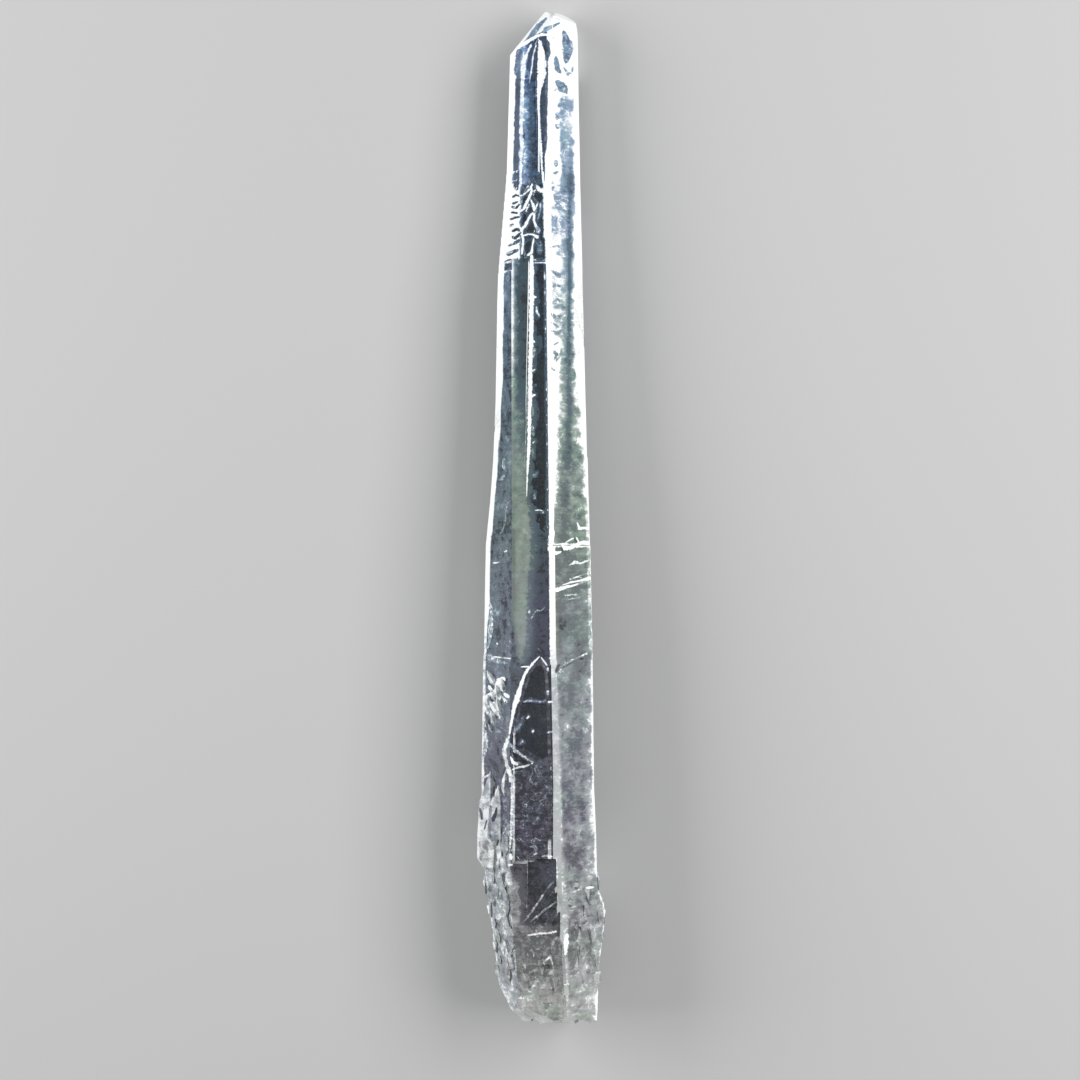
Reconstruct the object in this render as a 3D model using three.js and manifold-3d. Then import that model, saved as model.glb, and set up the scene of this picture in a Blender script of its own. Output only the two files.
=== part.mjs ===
// A double terminated quartz crystal, lying on its broad back face.
// Millimetres, +Z up. Its long axis runs along Y, with the pointed end towards +Y. The origin
// is the middle of its footprint, on the surface that it lies on.

import * as THREE from 'three';
import { mergeVertices } from 'three/addons/utils/BufferGeometryUtils.js';
import Module from 'manifold-3d';

const wasm = await Module();
wasm.setup();
const { degToRad, lerp } = THREE.MathUtils;

// Driving dimensions. "Along" is the distance from the blunt end.
const crystalLength = 150;
const loftEnd = crystalLength + 4; // the prism is lofted past its pointed end, and then cut
const rhombSlope = 38.2; // degrees from quartz's end faces to its long axis
const edgeFacetTurn = 30; // the narrow facet's turn from each of its two neighbours
const ledgeRise = 0.1; // height of one growth ledge
const ledgeRun = ledgeRise * Math.tan(degToRad(rhombSlope));

// A flight of growth ledges: flat terraces with a short riser after each one.
function ledges(from, to, count) {
  const points = [];
  for (let i = 0; i < count; i += 1) {
    const along = lerp(from[0], to[0], (i + 1) / count);
    points.push([along - ledgeRun, lerp(from[1], to[1], i / count)]);
    points.push([along, lerp(from[1], to[1], (i + 1) / count)]);
  }
  return points;
}

// The prism faces, in order round the crystal. Each looks towards its turn, in degrees
// from straight up towards +X. Its profile gives places along the crystal and how far the
// face lies there from the seat line, which runs along Y under the crystal.
const faces = {
  top: {
    turn: 0,
    profile: [[0, 13.2], [12, 14.0], [24, 14.3], [57, 13.3], [71, 12.6], [92, 11], [loftEnd, 7.3]],
  },
  right: {
    turn: 60,
    profile: [[0, 12.0], [9, 12.2], [21, 11.75], [36, 11.35], [70.8, 9.85], [71, 9.7],
      [92, 8.55], [125, 6.9], [loftEnd, 6.1]],
  },
  lowerRight: {
    turn: 120,
    profile: [[0, 5.0], [9, 5.4], [15.5, 6.7], [18, 6.6], [20.5, 5.3], [36, 4.7],
      [57, 4.87], [83.8, 4.72], [84, 4.6], [125, 4.4], [loftEnd, 4.1]],
  },
  bottom: {
    turn: 180,
    profile: [[0, -0.5], [5, 0], [144, 0], [loftEnd, -0.6]],
  },
  lowerLeft: {
    turn: 240,
    profile: [[0, 1.3], [9, 1.8], [21, 3.9], [27.5, 5.4], [36, 5.75], [71, 5.5], [77.6, 4.05],
      [83.5, 3.2], [92, 2.7], [107, 2.6], [112.5, 2.3], [125, 1.4], [loftEnd, 1.4]],
  },
  left: {
    turn: 300,
    profile: [[0, 6.7], [9, 7.85], [21, 8.9], [36, 8.75], [54.3, 8.45], [54.5, 8.33], [71, 8.0],
      [92, 7.5], [110, 7.15], ...ledges([110, 7.15], [126, 5.95], 12), [loftEnd, 4.9]],
  },
};

// How wide the narrow facet is, from the blunt end to the pointed one.
const edgeFacetWidth = [[0, 0.4], [12, 0.5], [24, 1.35], [36, 1.1], [57, 0.8], [80, 1.0], [110, 1.1],
  [loftEnd, 0.9]];

const faceNames = ['top', 'edgeFacet', 'right', 'lowerRight', 'bottom', 'lowerLeft', 'left'];

function valueAt(profile, along) {
  const next = profile.findIndex(([place]) => place >= along);
  if (next === 0) return profile[0][1];
  if (next < 0) return profile[profile.length - 1][1];
  const [before, after] = [profile[next - 1], profile[next]];
  return lerp(before[1], after[1], (along - before[0]) / (after[0] - before[0]));
}

// The narrow facet takes the corner of its two neighbours off, to its own width.
function offsetAt(name, along) {
  if (name !== 'edgeFacet') return valueAt(faces[name].profile, along);
  const cornerDistance = (offsetAt('top', along) + offsetAt('right', along)) / Math.sqrt(3);
  return cornerDistance - (valueAt(edgeFacetWidth, along) / 2) * Math.tan(degToRad(edgeFacetTurn));
}

function outward(name) {
  const turn = degToRad(name === 'edgeFacet' ? edgeFacetTurn : faces[name].turn);
  return new THREE.Vector3(Math.sin(turn), 0, Math.cos(turn));
}

// Where a face meets the next one round the crystal.
function cornerAt(index, along) {
  const name = faceNames[index % faceNames.length];
  const nextName = faceNames[(index + 1) % faceNames.length];
  const [a, b] = [outward(name), outward(nextName)];
  const [da, db] = [offsetAt(name, along), offsetAt(nextName, along)];
  const spread = a.x * b.z - a.z * b.x;
  return new THREE.Vector3((da * b.z - db * a.z) / spread, along, (a.x * db - b.x * da) / spread);
}

// A frame on a face: x across it in the order of faceNames, y along the crystal, z outward.
// "Across" runs from 0 at the face's first corner to 1 at its second.
function frameOnFace(name, along, across, rise = 0) {
  const index = faceNames.indexOf(name);
  const start = cornerAt(index + faceNames.length - 1, along);
  const end = cornerAt(index, along);
  const step = 0.5;
  const slope = (offsetAt(name, along + step) - offsetAt(name, along - step)) / (2 * step);
  const normal = outward(name);
  const yAxis = new THREE.Vector3(0, 1, 0).addScaledVector(normal, slope).normalize();
  const xAxis = end.clone().sub(start).setY(0).normalize();
  const zAxis = xAxis.clone().cross(yAxis);
  const origin = start.lerp(end, across).addScaledVector(zAxis, rise);
  return new THREE.Matrix4().makeBasis(xAxis, yAxis, zAxis).setPosition(origin);
}

// three.js geometry to a manifold-3d solid, and back.
function toSolid(geometry) {
  const bare = new THREE.BufferGeometry().setAttribute('position', geometry.getAttribute('position'));
  bare.setIndex(geometry.index);
  const merged = mergeVertices(bare, 1e-4);
  return new wasm.Manifold(new wasm.Mesh({
    numProp: 3,
    vertProperties: merged.getAttribute('position').array,
    triVerts: new Uint32Array(merged.index.array),
  }));
}

function toGeometry(solid) {
  const mesh = solid.getMesh();
  const geometry = new THREE.BufferGeometry();
  geometry.setAttribute('position', new THREE.BufferAttribute(new Float32Array(mesh.vertProperties), 3));
  geometry.setIndex(new THREE.BufferAttribute(new Uint32Array(mesh.triVerts), 1));
  geometry.computeVertexNormals();
  return geometry;
}

// The prism: a seven-sided cylinder whose rings are moved to the crystal's sections.
function prismBody() {
  const places = new Set(edgeFacetWidth.map(([along]) => along));
  for (const { profile } of Object.values(faces)) profile.forEach(([along]) => places.add(along));
  const stations = [...places].sort((a, b) => b - a);
  const sides = faceNames.length;
  const body = new THREE.CylinderGeometry(1, 1, 1, sides, stations.length - 1);
  const position = body.getAttribute('position');
  const point = new THREE.Vector3();
  for (let i = 0; i < position.count; i += 1) {
    point.fromBufferAttribute(position, i);
    const along = stations[Math.round((0.5 - point.y) * (stations.length - 1))];
    const corner = Math.round((Math.atan2(point.x, point.z) / (2 * Math.PI)) * sides + sides) % sides;
    if (Math.hypot(point.x, point.z) < 0.5) {
      point.set(0, along, offsetAt('top', along) / 2);
    } else {
      point.copy(cornerAt(corner, along));
    }
    position.setXYZ(i, point.x, point.y, point.z);
  }
  return toSolid(body);
}

// A block that takes away all that lies past a flat face. The face looks towards its turn
// and towards one end, and meets that direction's given offset at the given place.
function beyondFace({ end, turn, slope, along, offset }) {
  const reach = 60;
  const [t, s] = [degToRad(turn), degToRad(slope)];
  const normal = new THREE.Vector3(Math.cos(s) * Math.sin(t), end * Math.sin(s), Math.cos(s) * Math.cos(t));
  const origin = new THREE.Vector3(Math.sin(t) * offset, along, Math.cos(t) * offset);
  const block = new THREE.BoxGeometry(reach, reach, reach).translate(0, reach / 2, 0);
  block.applyQuaternion(new THREE.Quaternion().setFromUnitVectors(new THREE.Vector3(0, 1, 0), normal));
  return toSolid(block.translate(origin.x, origin.y, origin.z));
}

// A small six-sided crystal with a point at each end, turned about its own long axis.
function smallCrystal({ radius, length, point, turn = 0 }) {
  const half = length / 2;
  const profile = [
    new THREE.Vector2(0, -half),
    new THREE.Vector2(radius, -half + point * 0.8),
    new THREE.Vector2(radius * 0.86, half - point),
    new THREE.Vector2(0, half),
  ];
  return new THREE.LatheGeometry(profile, 6, degToRad(turn));
}

// A flat-topped growth plate with sloping sides, grown on a face to a given height.
// Its outline is in millimetres, from a given place on the face.
function growthPlate({ face, along, across, outline, height, sideRun }) {
  const shape = new THREE.Shape(outline.map(([x, y]) => new THREE.Vector2(x, y)));
  const rooted = 0.4; // how deep the plate's foot lies under the face
  const plate = new THREE.ExtrudeGeometry(shape, {
    depth: rooted,
    bevelThickness: height,
    bevelSize: sideRun,
    bevelOffset: -sideRun,
    bevelSegments: 1,
  });
  plate.translate(0, 0, -rooted);
  return toSolid(plate.applyMatrix4(frameOnFace(face, along, across)));
}

// A flat-bottomed hollow in a face, with the same kind of outline.
function sunkPanel({ face, along, across, outline, depth }) {
  const shape = new THREE.Shape(outline.map(([x, y]) => new THREE.Vector2(x, y)));
  const panel = new THREE.ExtrudeGeometry(shape, { depth: depth + 1, bevelEnabled: false });
  panel.translate(0, 0, -depth);
  return toSolid(panel.applyMatrix4(frameOnFace(face, along, across)));
}

// A straight groove in a face, between two places given as [across, along].
function groove({ face, from, to, width, depth, lift = 0 }) {
  const start = new THREE.Vector3().setFromMatrixPosition(frameOnFace(face, from[1], from[0]));
  const frame = frameOnFace(face, to[1], to[0]);
  const end = new THREE.Vector3().setFromMatrixPosition(frame);
  const zAxis = new THREE.Vector3().setFromMatrixColumn(frame, 2);
  const yAxis = end.clone().sub(start).normalize();
  const xAxis = yAxis.clone().cross(zAxis).normalize();
  zAxis.crossVectors(xAxis, yAxis);
  const middle = start.clone().lerp(end, 0.5).addScaledVector(zAxis, lift);
  // A square bar on its edge gives the groove a V-shaped section.
  const bar = new THREE.BoxGeometry(1, 1, 1).rotateY(Math.PI / 4);
  bar.scale(width / Math.SQRT2, start.distanceTo(end), depth * Math.SQRT2);
  return toSolid(bar.applyMatrix4(new THREE.Matrix4().makeBasis(xAxis, yAxis, zAxis).setPosition(middle)));
}

// A small crystal grown on a face. Its heading turns it in the face, and its lean tips its
// point away from the face.
function crystalOnFace({ face, along, across, rise, heading = 0, lean = 0, ...form }) {
  const crystal = smallCrystal(form);
  crystal.rotateX(degToRad(lean)).rotateZ(degToRad(heading));
  return toSolid(crystal.applyMatrix4(frameOnFace(face, along, across, rise)));
}

// A low faceted lump on a face, or the shape of a chip out of it.
function facetedLump({ face, along, across, size, rise = 0, turn = 0 }) {
  const ball = new THREE.IcosahedronGeometry(1, 0).rotateZ(degToRad(turn));
  ball.scale(...size);
  return toSolid(ball.applyMatrix4(frameOnFace(face, along, across, rise)));
}

// End faces, each with the way it looks and one place that it passes through.
const pointedEnd = [
  { turn: -70, slope: rhombSlope, along: 143.9, offset: 4.9 },
  { turn: -23, slope: rhombSlope, along: 144.6, offset: 8.0 },
  { turn: 70, slope: 54, along: 147.9, offset: 6.25 },
  { turn: 88, slope: 10, along: 147.4, offset: 5.95 },
  { turn: 178, slope: rhombSlope, along: 147.1, offset: 0.4 },
  { turn: -125, slope: rhombSlope, along: 144.8, offset: 1.4 },
  { turn: 125, slope: 48, along: 148.7, offset: 3.8 },
  { turn: 40, slope: 80, along: crystalLength, offset: 5 },
  { turn: 0, slope: 89, along: crystalLength, offset: 4 },
];

const bluntEnd = [
  { turn: -88, slope: rhombSlope, along: 7.3, offset: 6.7 },
  { turn: -35, slope: 55, along: 3.6, offset: 11 },
  { turn: 35, slope: 68, along: 1.6, offset: 13 },
  { turn: 165, slope: 55, along: 2.8, offset: 0 },
  { turn: -140, slope: 50, along: 4.4, offset: 2.4 },
  { turn: -90, slope: 86, along: 0.9, offset: 3 },
];

// The growth in parallel with the main crystal: a pointed arch on the top face.
const arch = {
  face: 'top',
  along: 54.6,
  across: 0.76,
  outline: [[0, 0], [-1.75, -1.9], [-3.1, -6], [-4.1, -11], [-4.15, -30], [1.6, -30], [1.55, -16],
    [1.2, -5], [0.85, -1.9]],
  height: 0.32,
  sideRun: 0.42,
};

// Lower growth plates: a long thin ridge and a tongue under the point on the top face, and
// two broad ones on the faces that look down.
const lowPlates = [
  {
    face: 'top', along: 113.1, across: 0.58, height: 0.16, sideRun: 0.2,
    outline: [[-0.4, 0], [-0.7, -34.6], [-0.2, -20], [0.3, -8], [0.4, 0]],
  },
  {
    face: 'top', along: 145.6, across: 0.62, height: 0.22, sideRun: 0.14,
    outline: [[0.3, 0], [-0.25, -1], [-0.2, -5], [0.35, -20], [0.7, -20], [0.55, -9.5], [1.05, -5.5],
      [1.25, -2]],
  },
  {
    face: 'lowerRight', along: 120, across: 0.5, height: 0.14, sideRun: 0.2,
    outline: [[0, 0], [-0.9, -2], [-1, -29], [0.9, -31], [0.8, -1.5]],
  },
  {
    face: 'lowerLeft', along: 68, across: 0.5, height: 0.16, sideRun: 0.22,
    outline: [[0, 0], [-0.7, -1.8], [-0.8, -22], [0.7, -25], [0.6, -1.6]],
  },
];

// Small crystals in a sheaf on the left face, as [across, along, length, heading].
const sheaf = [
  [0.39, 51.2, 2.9, 24], [0.81, 50.4, 3.0, -26], [0.63, 49.4, 3.2, -40], [0.45, 48.8, 2.4, 10],
  [0.31, 48.0, 3.4, -64], [0.91, 48.2, 2.0, 42], [0.67, 47.4, 2.9, -18], [0.51, 46.9, 3.0, 36],
  [0.27, 46.4, 2.6, 30], [0.73, 45.8, 2.0, 12], [0.47, 45.4, 2.9, -14], [0.23, 44.5, 2.4, -30],
  [0.37, 43.8, 1.8, 16],
];

// The pointed crystal lower down on the left face, and its neighbours.
const sideCrystals = [
  { along: 30.9, across: 0.42, rise: 0.5, radius: 2.15, length: 13.6, point: 4.7, turn: 12 },
  { along: 30.6, across: 0.64, rise: 0.3, radius: 1.5, length: 10.4, point: 3, turn: 30, heading: -3 },
  { along: 26.9, across: 0.2, rise: 0.3, radius: 1.4, length: 9, point: 2.6, turn: 30, heading: 3 },
  { along: 25.4, across: 0.52, rise: 0.2, radius: 1.3, length: 7.4, point: 2.2, heading: -5 },
  { along: 36.2, across: 0.86, rise: 0.05, radius: 0.6, length: 4.2, point: 1.6, heading: -6 },
];

// Rough overgrowth round the blunt end, spread over each face by the golden ratio so that
// it doesn't line up: stubby crystals in parallel with the main one, and low faceted lumps.
const overgrowth = [
  { face: 'left', count: 30, from: 8, to: 28, size: 1.0, rise: 0.12 },
  { face: 'lowerLeft', count: 14, from: 7, to: 29, size: 0.95, rise: 0.08 },
  { face: 'right', count: 13, from: 6, to: 22, size: 1.0, rise: -0.06 },
  { face: 'lowerRight', count: 16, from: 7, to: 24, size: 1.1, rise: 0.04 },
  { face: 'top', count: 9, from: 4, to: 13, size: 0.95, rise: -0.08 },
];
const goldenRatio = 0.618;
const stub = { length: 3.4, point: 1.2, lean: 8, heading: 14 }; // its angles in degrees, at most
const lump = { width: 1.1, length: 1.7, thickness: 0.42, turn: 50 }; // sizes in stub radii

function overgrowthOn({ face, count, from, to, size, rise }) {
  const lumps = [];
  for (let i = 0; i < count; i += 1) {
    const wave = Math.sin(i * 2.4); // -1 to 1, with no pattern that shows
    const radius = size * (1 + 0.3 * wave);
    const along = lerp(from, to, (i + 0.5) / count);
    const across = lerp(0.04, 0.96, (i * goldenRatio) % 1);
    if (i % 3 === 0) {
      lumps.push(crystalOnFace({
        face,
        along,
        across,
        radius,
        rise: rise - radius / 2,
        length: stub.length + wave,
        point: stub.point,
        turn: 15 * i,
        heading: stub.heading * wave,
        lean: stub.lean * wave,
      }));
    } else {
      const length = radius * (lump.length + 0.5 * wave);
      const form = [lump.width * radius, length, lump.thickness * radius];
      lumps.push(facetedLump({ face, along, across, rise, size: form, turn: lump.turn * wave }));
    }
  }
  return lumps;
}

// Growth marks on the top face beside the ledges: columns of short zigzag strokes.
const markColumns = [
  { across: 0.16, from: 114.2, to: 124.2, count: 7, swing: 0.09 },
  { across: 0.4, from: 113.4, to: 125.6, count: 9, swing: 0.11 },
  { across: 0.66, from: 114.8, to: 125.2, count: 7, swing: 0.1 },
];

function marksInColumn({ across, from, to, count, swing }) {
  const marks = [];
  for (let i = 0; i < count; i += 1) {
    const side = i % 2 ? 1 : -1;
    const wave = Math.sin(i * 3.7 + across * 29);
    const reach = swing * (0.85 + 0.7 * wave);
    const start = [across - side * reach, lerp(from, to, (i + 0.3 * wave) / count)];
    const end = [across + side * swing, lerp(from, to, (i + 0.85) / count)];
    marks.push(groove({ face: 'top', from: start, to: end, width: 0.44, depth: 0.16 }));
  }
  return marks;
}

// Healed cracks across the faces.
const cracks = [
  { face: 'right', from: [0.03, 64.2], to: [0.92, 65.7], width: 0.3, depth: 0.16 },
  { face: 'right', from: [0.4, 65.9], to: [0.97, 66.9], width: 0.2, depth: 0.12 },
  { face: 'right', from: [0.36, 63.0], to: [0.72, 63.3], width: 0.18, depth: 0.1 },
  { face: 'right', from: [0.08, 52.4], to: [0.3, 53.9], width: 0.4, depth: 0.24 },
  { face: 'right', from: [0.28, 53.8], to: [0.86, 55.0], width: 0.28, depth: 0.16 },
  { face: 'top', from: [0.3, 47.9], to: [0.98, 47.6], width: 0.3, depth: 0.14, lift: 0.32 },
  { face: 'top', from: [0.74, 112.7], to: [0.97, 112.8], width: 0.22, depth: 0.1 },
  { face: 'left', from: [0.05, 36.2], to: [0.3, 36.9], width: 0.3, depth: 0.12 },
];

// Panels sunk into the top face near the blunt end. Their slanting sides lie at the
// rhombohedral angle. The three-cornered one bites into the arch.
const panels = [
  {
    along: 25.4, across: 0.42, depth: 0.34,
    outline: [[0, 0], [0, -9.2], [0.6, -9.2], [4.1, -3.8], [4.1, 0]],
  },
  {
    along: 20.4, across: 0.45, depth: 0.2,
    outline: [[3.9, 0.2], [0.6, -4.6], [1.9, -4.6], [3.9, -1.9]],
  },
  {
    along: 17.4, across: 0.5, depth: 0.36,
    outline: [[3.7, 0.4], [1.5, -2.9], [0.2, -3.1], [3.7, -3.1]],
  },
  {
    along: 41, across: 0.05, depth: 0.3,
    outline: [[0, 0], [3.3, -2.2], [0.5, -3]],
  },
];

// Chips out of the edges and hollows in the broken part of the blunt end.
const chips = [
  { face: 'left', along: 88.2, across: 0, size: [0.35, 0.5, 0.3] },
  { face: 'left', along: 13.6, across: 0, size: [0.5, 0.45, 0.5] },
  { face: 'right', along: 59, across: 1, size: [0.3, 0.7, 0.3] },
  { face: 'lowerRight', along: 101, across: 0, size: [0.3, 0.9, 0.3] },
  { face: 'lowerLeft', along: 66, across: 0.1, size: [0.35, 1.1, 0.3] },
  { face: 'left', along: 22.9, across: 0.36, size: [0.6, 0.8, 0.9], rise: 0.3 },
  { face: 'left', along: 24.6, across: 0.76, size: [0.5, 1.0, 0.7], rise: 0.2 },
  { face: 'left', along: 21.2, across: 0.9, size: [0.5, 0.7, 0.4] },
  { face: 'top', along: 7.6, across: 0.3, size: [0.9, 1.2, 0.35], turn: 20 },
  { face: 'top', along: 9.2, across: 0.66, size: [1.2, 1.1, 0.4], turn: 50 },
  { face: 'right', along: 10.5, across: 0.3, size: [0.7, 1.9, 0.35], turn: 10 },
  { face: 'right', along: 14.2, across: 0.36, size: [0.8, 1.6, 0.4], turn: 30 },
];

// The broken hollow of the blunt end, the two nicks at its rim and one in the pointed end,
// as [x, along, z] and size.
const endBreaks = [
  { place: [4.1, -2.2, 7.2], size: [4.3, 3.6, 24] },
  { place: [0.7, -1.3, 8], size: [0.8, 2.9, 12] },
  { place: [7.4, -1.3, 8.6], size: [0.9, 3.1, 12] },
  { place: [0.4, -1.4, 3.4], size: [3.2, 3.2, 2.8] },
  { place: [2.7, 150.3, 4.5], size: [0.38, 0.75, 6] },
];

function endBreak({ place, size }) {
  return toSolid(new THREE.IcosahedronGeometry(1, 1).scale(...size).translate(...place));
}

// Everything that grew on the crystal is joined to it, and every break is cut from it.
let crystal = prismBody();
for (const face of pointedEnd) crystal = crystal.subtract(beyondFace({ end: 1, ...face }));
for (const face of bluntEnd) crystal = crystal.subtract(beyondFace({ end: -1, ...face }));

const grown = [growthPlate(arch), ...lowPlates.map(growthPlate), ...overgrowth.flatMap(overgrowthOn)];
for (const form of sideCrystals) grown.push(crystalOnFace({ face: 'left', ...form }));
for (const [across, along, length, heading] of sheaf) {
  grown.push(crystalOnFace({
    face: 'left', along, across, length, heading, rise: 0.3, lean: 24, radius: 0.2 * length, point: 1,
  }));
}
for (const solid of grown) crystal = crystal.add(solid);

const broken = [...cracks.map(groove), ...chips.map(facetedLump), ...endBreaks.map(endBreak)];
broken.push(...markColumns.flatMap(marksInColumn));
for (const panel of panels) broken.push(sunkPanel({ face: 'top', ...panel }));
for (const solid of broken) crystal = crystal.subtract(solid);

// Nothing reaches below the face that the crystal rests on.
const underSeat = new THREE.BoxGeometry(60, 400, 60).translate(0, 0, -30);
crystal = crystal.subtract(toSolid(underSeat));

// The finished solid moves to the origin.
const geometry = toGeometry(crystal);
geometry.computeBoundingBox();
const { min } = geometry.boundingBox;
const middle = geometry.boundingBox.getCenter(new THREE.Vector3());
geometry.translate(-middle.x, -middle.y, -min.z);

const quartz = new THREE.MeshStandardMaterial({
  color: 0xc9d3cf,
  roughness: 0.12,
  metalness: 0,
  flatShading: true,
});
const body = new THREE.Mesh(geometry, quartz);
body.name = 'quartz_crystal';

const root = new THREE.Group();
root.add(body);
export default root;
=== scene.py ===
import math

import bmesh
import bpy
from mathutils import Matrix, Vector, kdtree, noise


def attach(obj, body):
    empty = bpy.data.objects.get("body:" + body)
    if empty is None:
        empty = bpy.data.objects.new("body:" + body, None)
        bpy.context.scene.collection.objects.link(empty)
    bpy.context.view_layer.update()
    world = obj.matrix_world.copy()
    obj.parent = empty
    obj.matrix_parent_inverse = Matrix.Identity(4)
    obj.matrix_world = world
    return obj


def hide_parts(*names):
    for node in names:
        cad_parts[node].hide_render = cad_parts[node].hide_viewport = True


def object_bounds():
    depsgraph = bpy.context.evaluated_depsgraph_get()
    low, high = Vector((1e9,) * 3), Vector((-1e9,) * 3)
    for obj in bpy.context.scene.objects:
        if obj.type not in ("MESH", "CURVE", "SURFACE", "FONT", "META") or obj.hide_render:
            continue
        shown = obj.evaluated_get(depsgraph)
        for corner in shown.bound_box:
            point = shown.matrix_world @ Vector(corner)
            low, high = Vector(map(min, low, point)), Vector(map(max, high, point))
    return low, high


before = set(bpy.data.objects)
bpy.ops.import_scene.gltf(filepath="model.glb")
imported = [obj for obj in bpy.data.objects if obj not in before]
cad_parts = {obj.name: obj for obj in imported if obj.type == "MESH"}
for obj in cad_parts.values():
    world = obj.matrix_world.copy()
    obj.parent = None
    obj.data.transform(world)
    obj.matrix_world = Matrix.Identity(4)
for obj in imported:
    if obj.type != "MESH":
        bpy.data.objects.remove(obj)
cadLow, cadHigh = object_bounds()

mm = 0.001
viewTilt = math.radians(10)  # the camera looks down, leaning this far towards +X
print("frame loaded", [round(v / mm, 2) for v in cadHigh - cadLow])


def alongCrystal(y):
    return (y - cadLow.y) / mm  # millimetres from the blunt end


def seenAcross(point):
    return (point.x * math.cos(viewTilt) - point.z * math.sin(viewTilt)) / mm


def facing(turn):
    angle = math.radians(turn)
    return Vector((math.sin(angle), 0, math.cos(angle)))


# the camera looks down on the crystal, and frame is how much of it the picture takes in
viewLook = {"target": Vector((0.04, -3.46, 7)) * mm, "lens": 100, "sensor": 36, "frame": 159.3 * mm}
viewDistance = viewLook["frame"] * viewLook["lens"] / viewLook["sensor"]
towardsCamera = facing(math.degrees(viewTilt))


def seenAt(point):
    # where the camera sees a point: mm across, and mm from the blunt end
    target = viewLook["target"]
    nearer = viewDistance / (viewDistance - (point - target).dot(towardsCamera))
    nearer *= markFrame["pixel"] * markFrame["pixels"] * mm / viewLook["frame"]
    middle, centre = seenAcross(target), alongCrystal(target.y)
    across = middle + nearer * (seenAcross(point) - middle)
    return across, centre + nearer * (alongCrystal(point.y) - centre)


def smooth(start, end, value):
    t = min(1, max(0, (value - start) / (end - start)))
    return t * t * (3 - 2 * t)


def follow(points, s):
    # a value that changes along the crystal, given as (s, value) points in the order of s
    if s <= points[0][0]:
        return points[0][1]
    for (s0, v0), (s1, v1) in zip(points, points[1:]):
        if s <= s1:
            return v0 + (v1 - v0) * (s - s0) / (s1 - s0)
    return points[-1][1]


def patches(point, size, stretch, upright=1):
    p = Vector((point.x, point.y / stretch, point.z * upright)) / size / mm
    return noise.noise(p)


def editAll(piece):
    bpy.ops.object.select_all(action="DESELECT")
    piece.select_set(True)
    bpy.context.view_layer.objects.active = piece
    bpy.ops.object.mode_set(mode="EDIT")
    bpy.ops.mesh.select_all(action="SELECT")


# the crystal: a copy of the node's mesh, cut fine enough for relief and frosting
crystalForm = {
    "node": "quartz_crystal",
    "slot": "quartz",
    "mergeDistance": 0.001 * mm,
    "flatAngle": 0.6,  # degrees between triangles of one flat face
    "evenAngle": 1,  # degrees within which edges may turn to even out the triangles
    "cuts": [8 * mm, 4 * mm, 2 * mm, 1 * mm, 0.6 * mm, 0.45 * mm],  # longest edge after each round
    "underneath": 2.2,  # how many times longer an edge may stay on the faces that turn down
}
prismTurns = {  # degrees from straight up
    "top": 0,
    "edgeFacet": 30,
    "right": 60,
    "lowerRight": 120,
    "bottom": 180,
    "lowerLeft": 240,
    "left": 300,
}


def prismFaceOf(normal):
    name = max(prismTurns, key=lambda key: normal.dot(facing(prismTurns[key])))
    return name, math.degrees(math.acos(min(1, normal.dot(facing(prismTurns[name])))))


def splitLongEdges(mesh, longest, underneath):
    bm = bmesh.new()
    bm.from_mesh(mesh)
    while True:
        tooLong = []
        for edge in bm.edges:
            length = edge.calc_length()
            if length > longest and (length > longest * underneath or turnsUp(edge)):
                tooLong.append((length, edge))
        if not tooLong:
            break
        for length, edge in sorted(tooLong, key=lambda pair: -pair[0]):
            opposite = {v for f in edge.link_faces for v in f.verts} - set(edge.verts)
            middle = bmesh.utils.edge_split(edge, edge.verts[0], 0.5)[1]
            for face in list(middle.link_faces):
                corner = next(v for v in face.verts if v in opposite)
                bmesh.utils.face_split(face, middle, corner)
    bm.to_mesh(mesh)
    bm.free()


def turnsUp(edge):
    for face in edge.link_faces:
        face.normal_update()
    return any(face.normal.z > -0.1 for face in edge.link_faces)


def sharpEdgeTree(mesh, look):
    # points along every sharp edge, to look up how far a spot is from the nearest one
    bm = bmesh.new()
    bm.from_mesh(mesh)
    places = []
    for edge in bm.edges:
        if edge.calc_face_angle(0) < math.radians(look["sharpEdge"]):
            continue
        if {prismFaceOf(face.normal)[0] for face in edge.link_faces} == {"top", "left"}:
            continue
        a, b = edge.verts[0].co, edge.verts[1].co
        steps = max(1, math.ceil((b - a).length / look["edgeStep"]))
        places += [a.lerp(b, i / steps) for i in range(steps + 1)]
    bm.free()
    tree = kdtree.KDTree(len(places))
    for i, place in enumerate(places):
        tree.insert(place, i)
    tree.balance()
    return tree


def makeCrystal(form):
    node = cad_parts[form["node"]]
    crystal = bpy.data.objects.new("quartzCrystal", node.data.copy())
    crystal.data.materials.clear()
    bpy.context.scene.collection.objects.link(crystal)
    editAll(crystal)
    bpy.ops.mesh.remove_doubles(threshold=form["mergeDistance"])
    bpy.ops.mesh.dissolve_degenerate(threshold=2 * form["mergeDistance"])
    bpy.ops.mesh.dissolve_limited(angle_limit=math.radians(form["flatAngle"]))
    bpy.ops.mesh.quads_convert_to_tris(quad_method="BEAUTY", ngon_method="BEAUTY")
    bpy.ops.object.mode_set(mode="OBJECT")
    edgeTree = sharpEdgeTree(crystal.data, frostLook)
    for longest in form["cuts"]:
        splitLongEdges(crystal.data, longest, form["underneath"])
        editAll(crystal)
        bpy.ops.mesh.beautify_fill(angle_limit=math.radians(form["evenAngle"]))
        bpy.ops.object.mode_set(mode="OBJECT")
    return crystal, edgeTree


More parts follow.
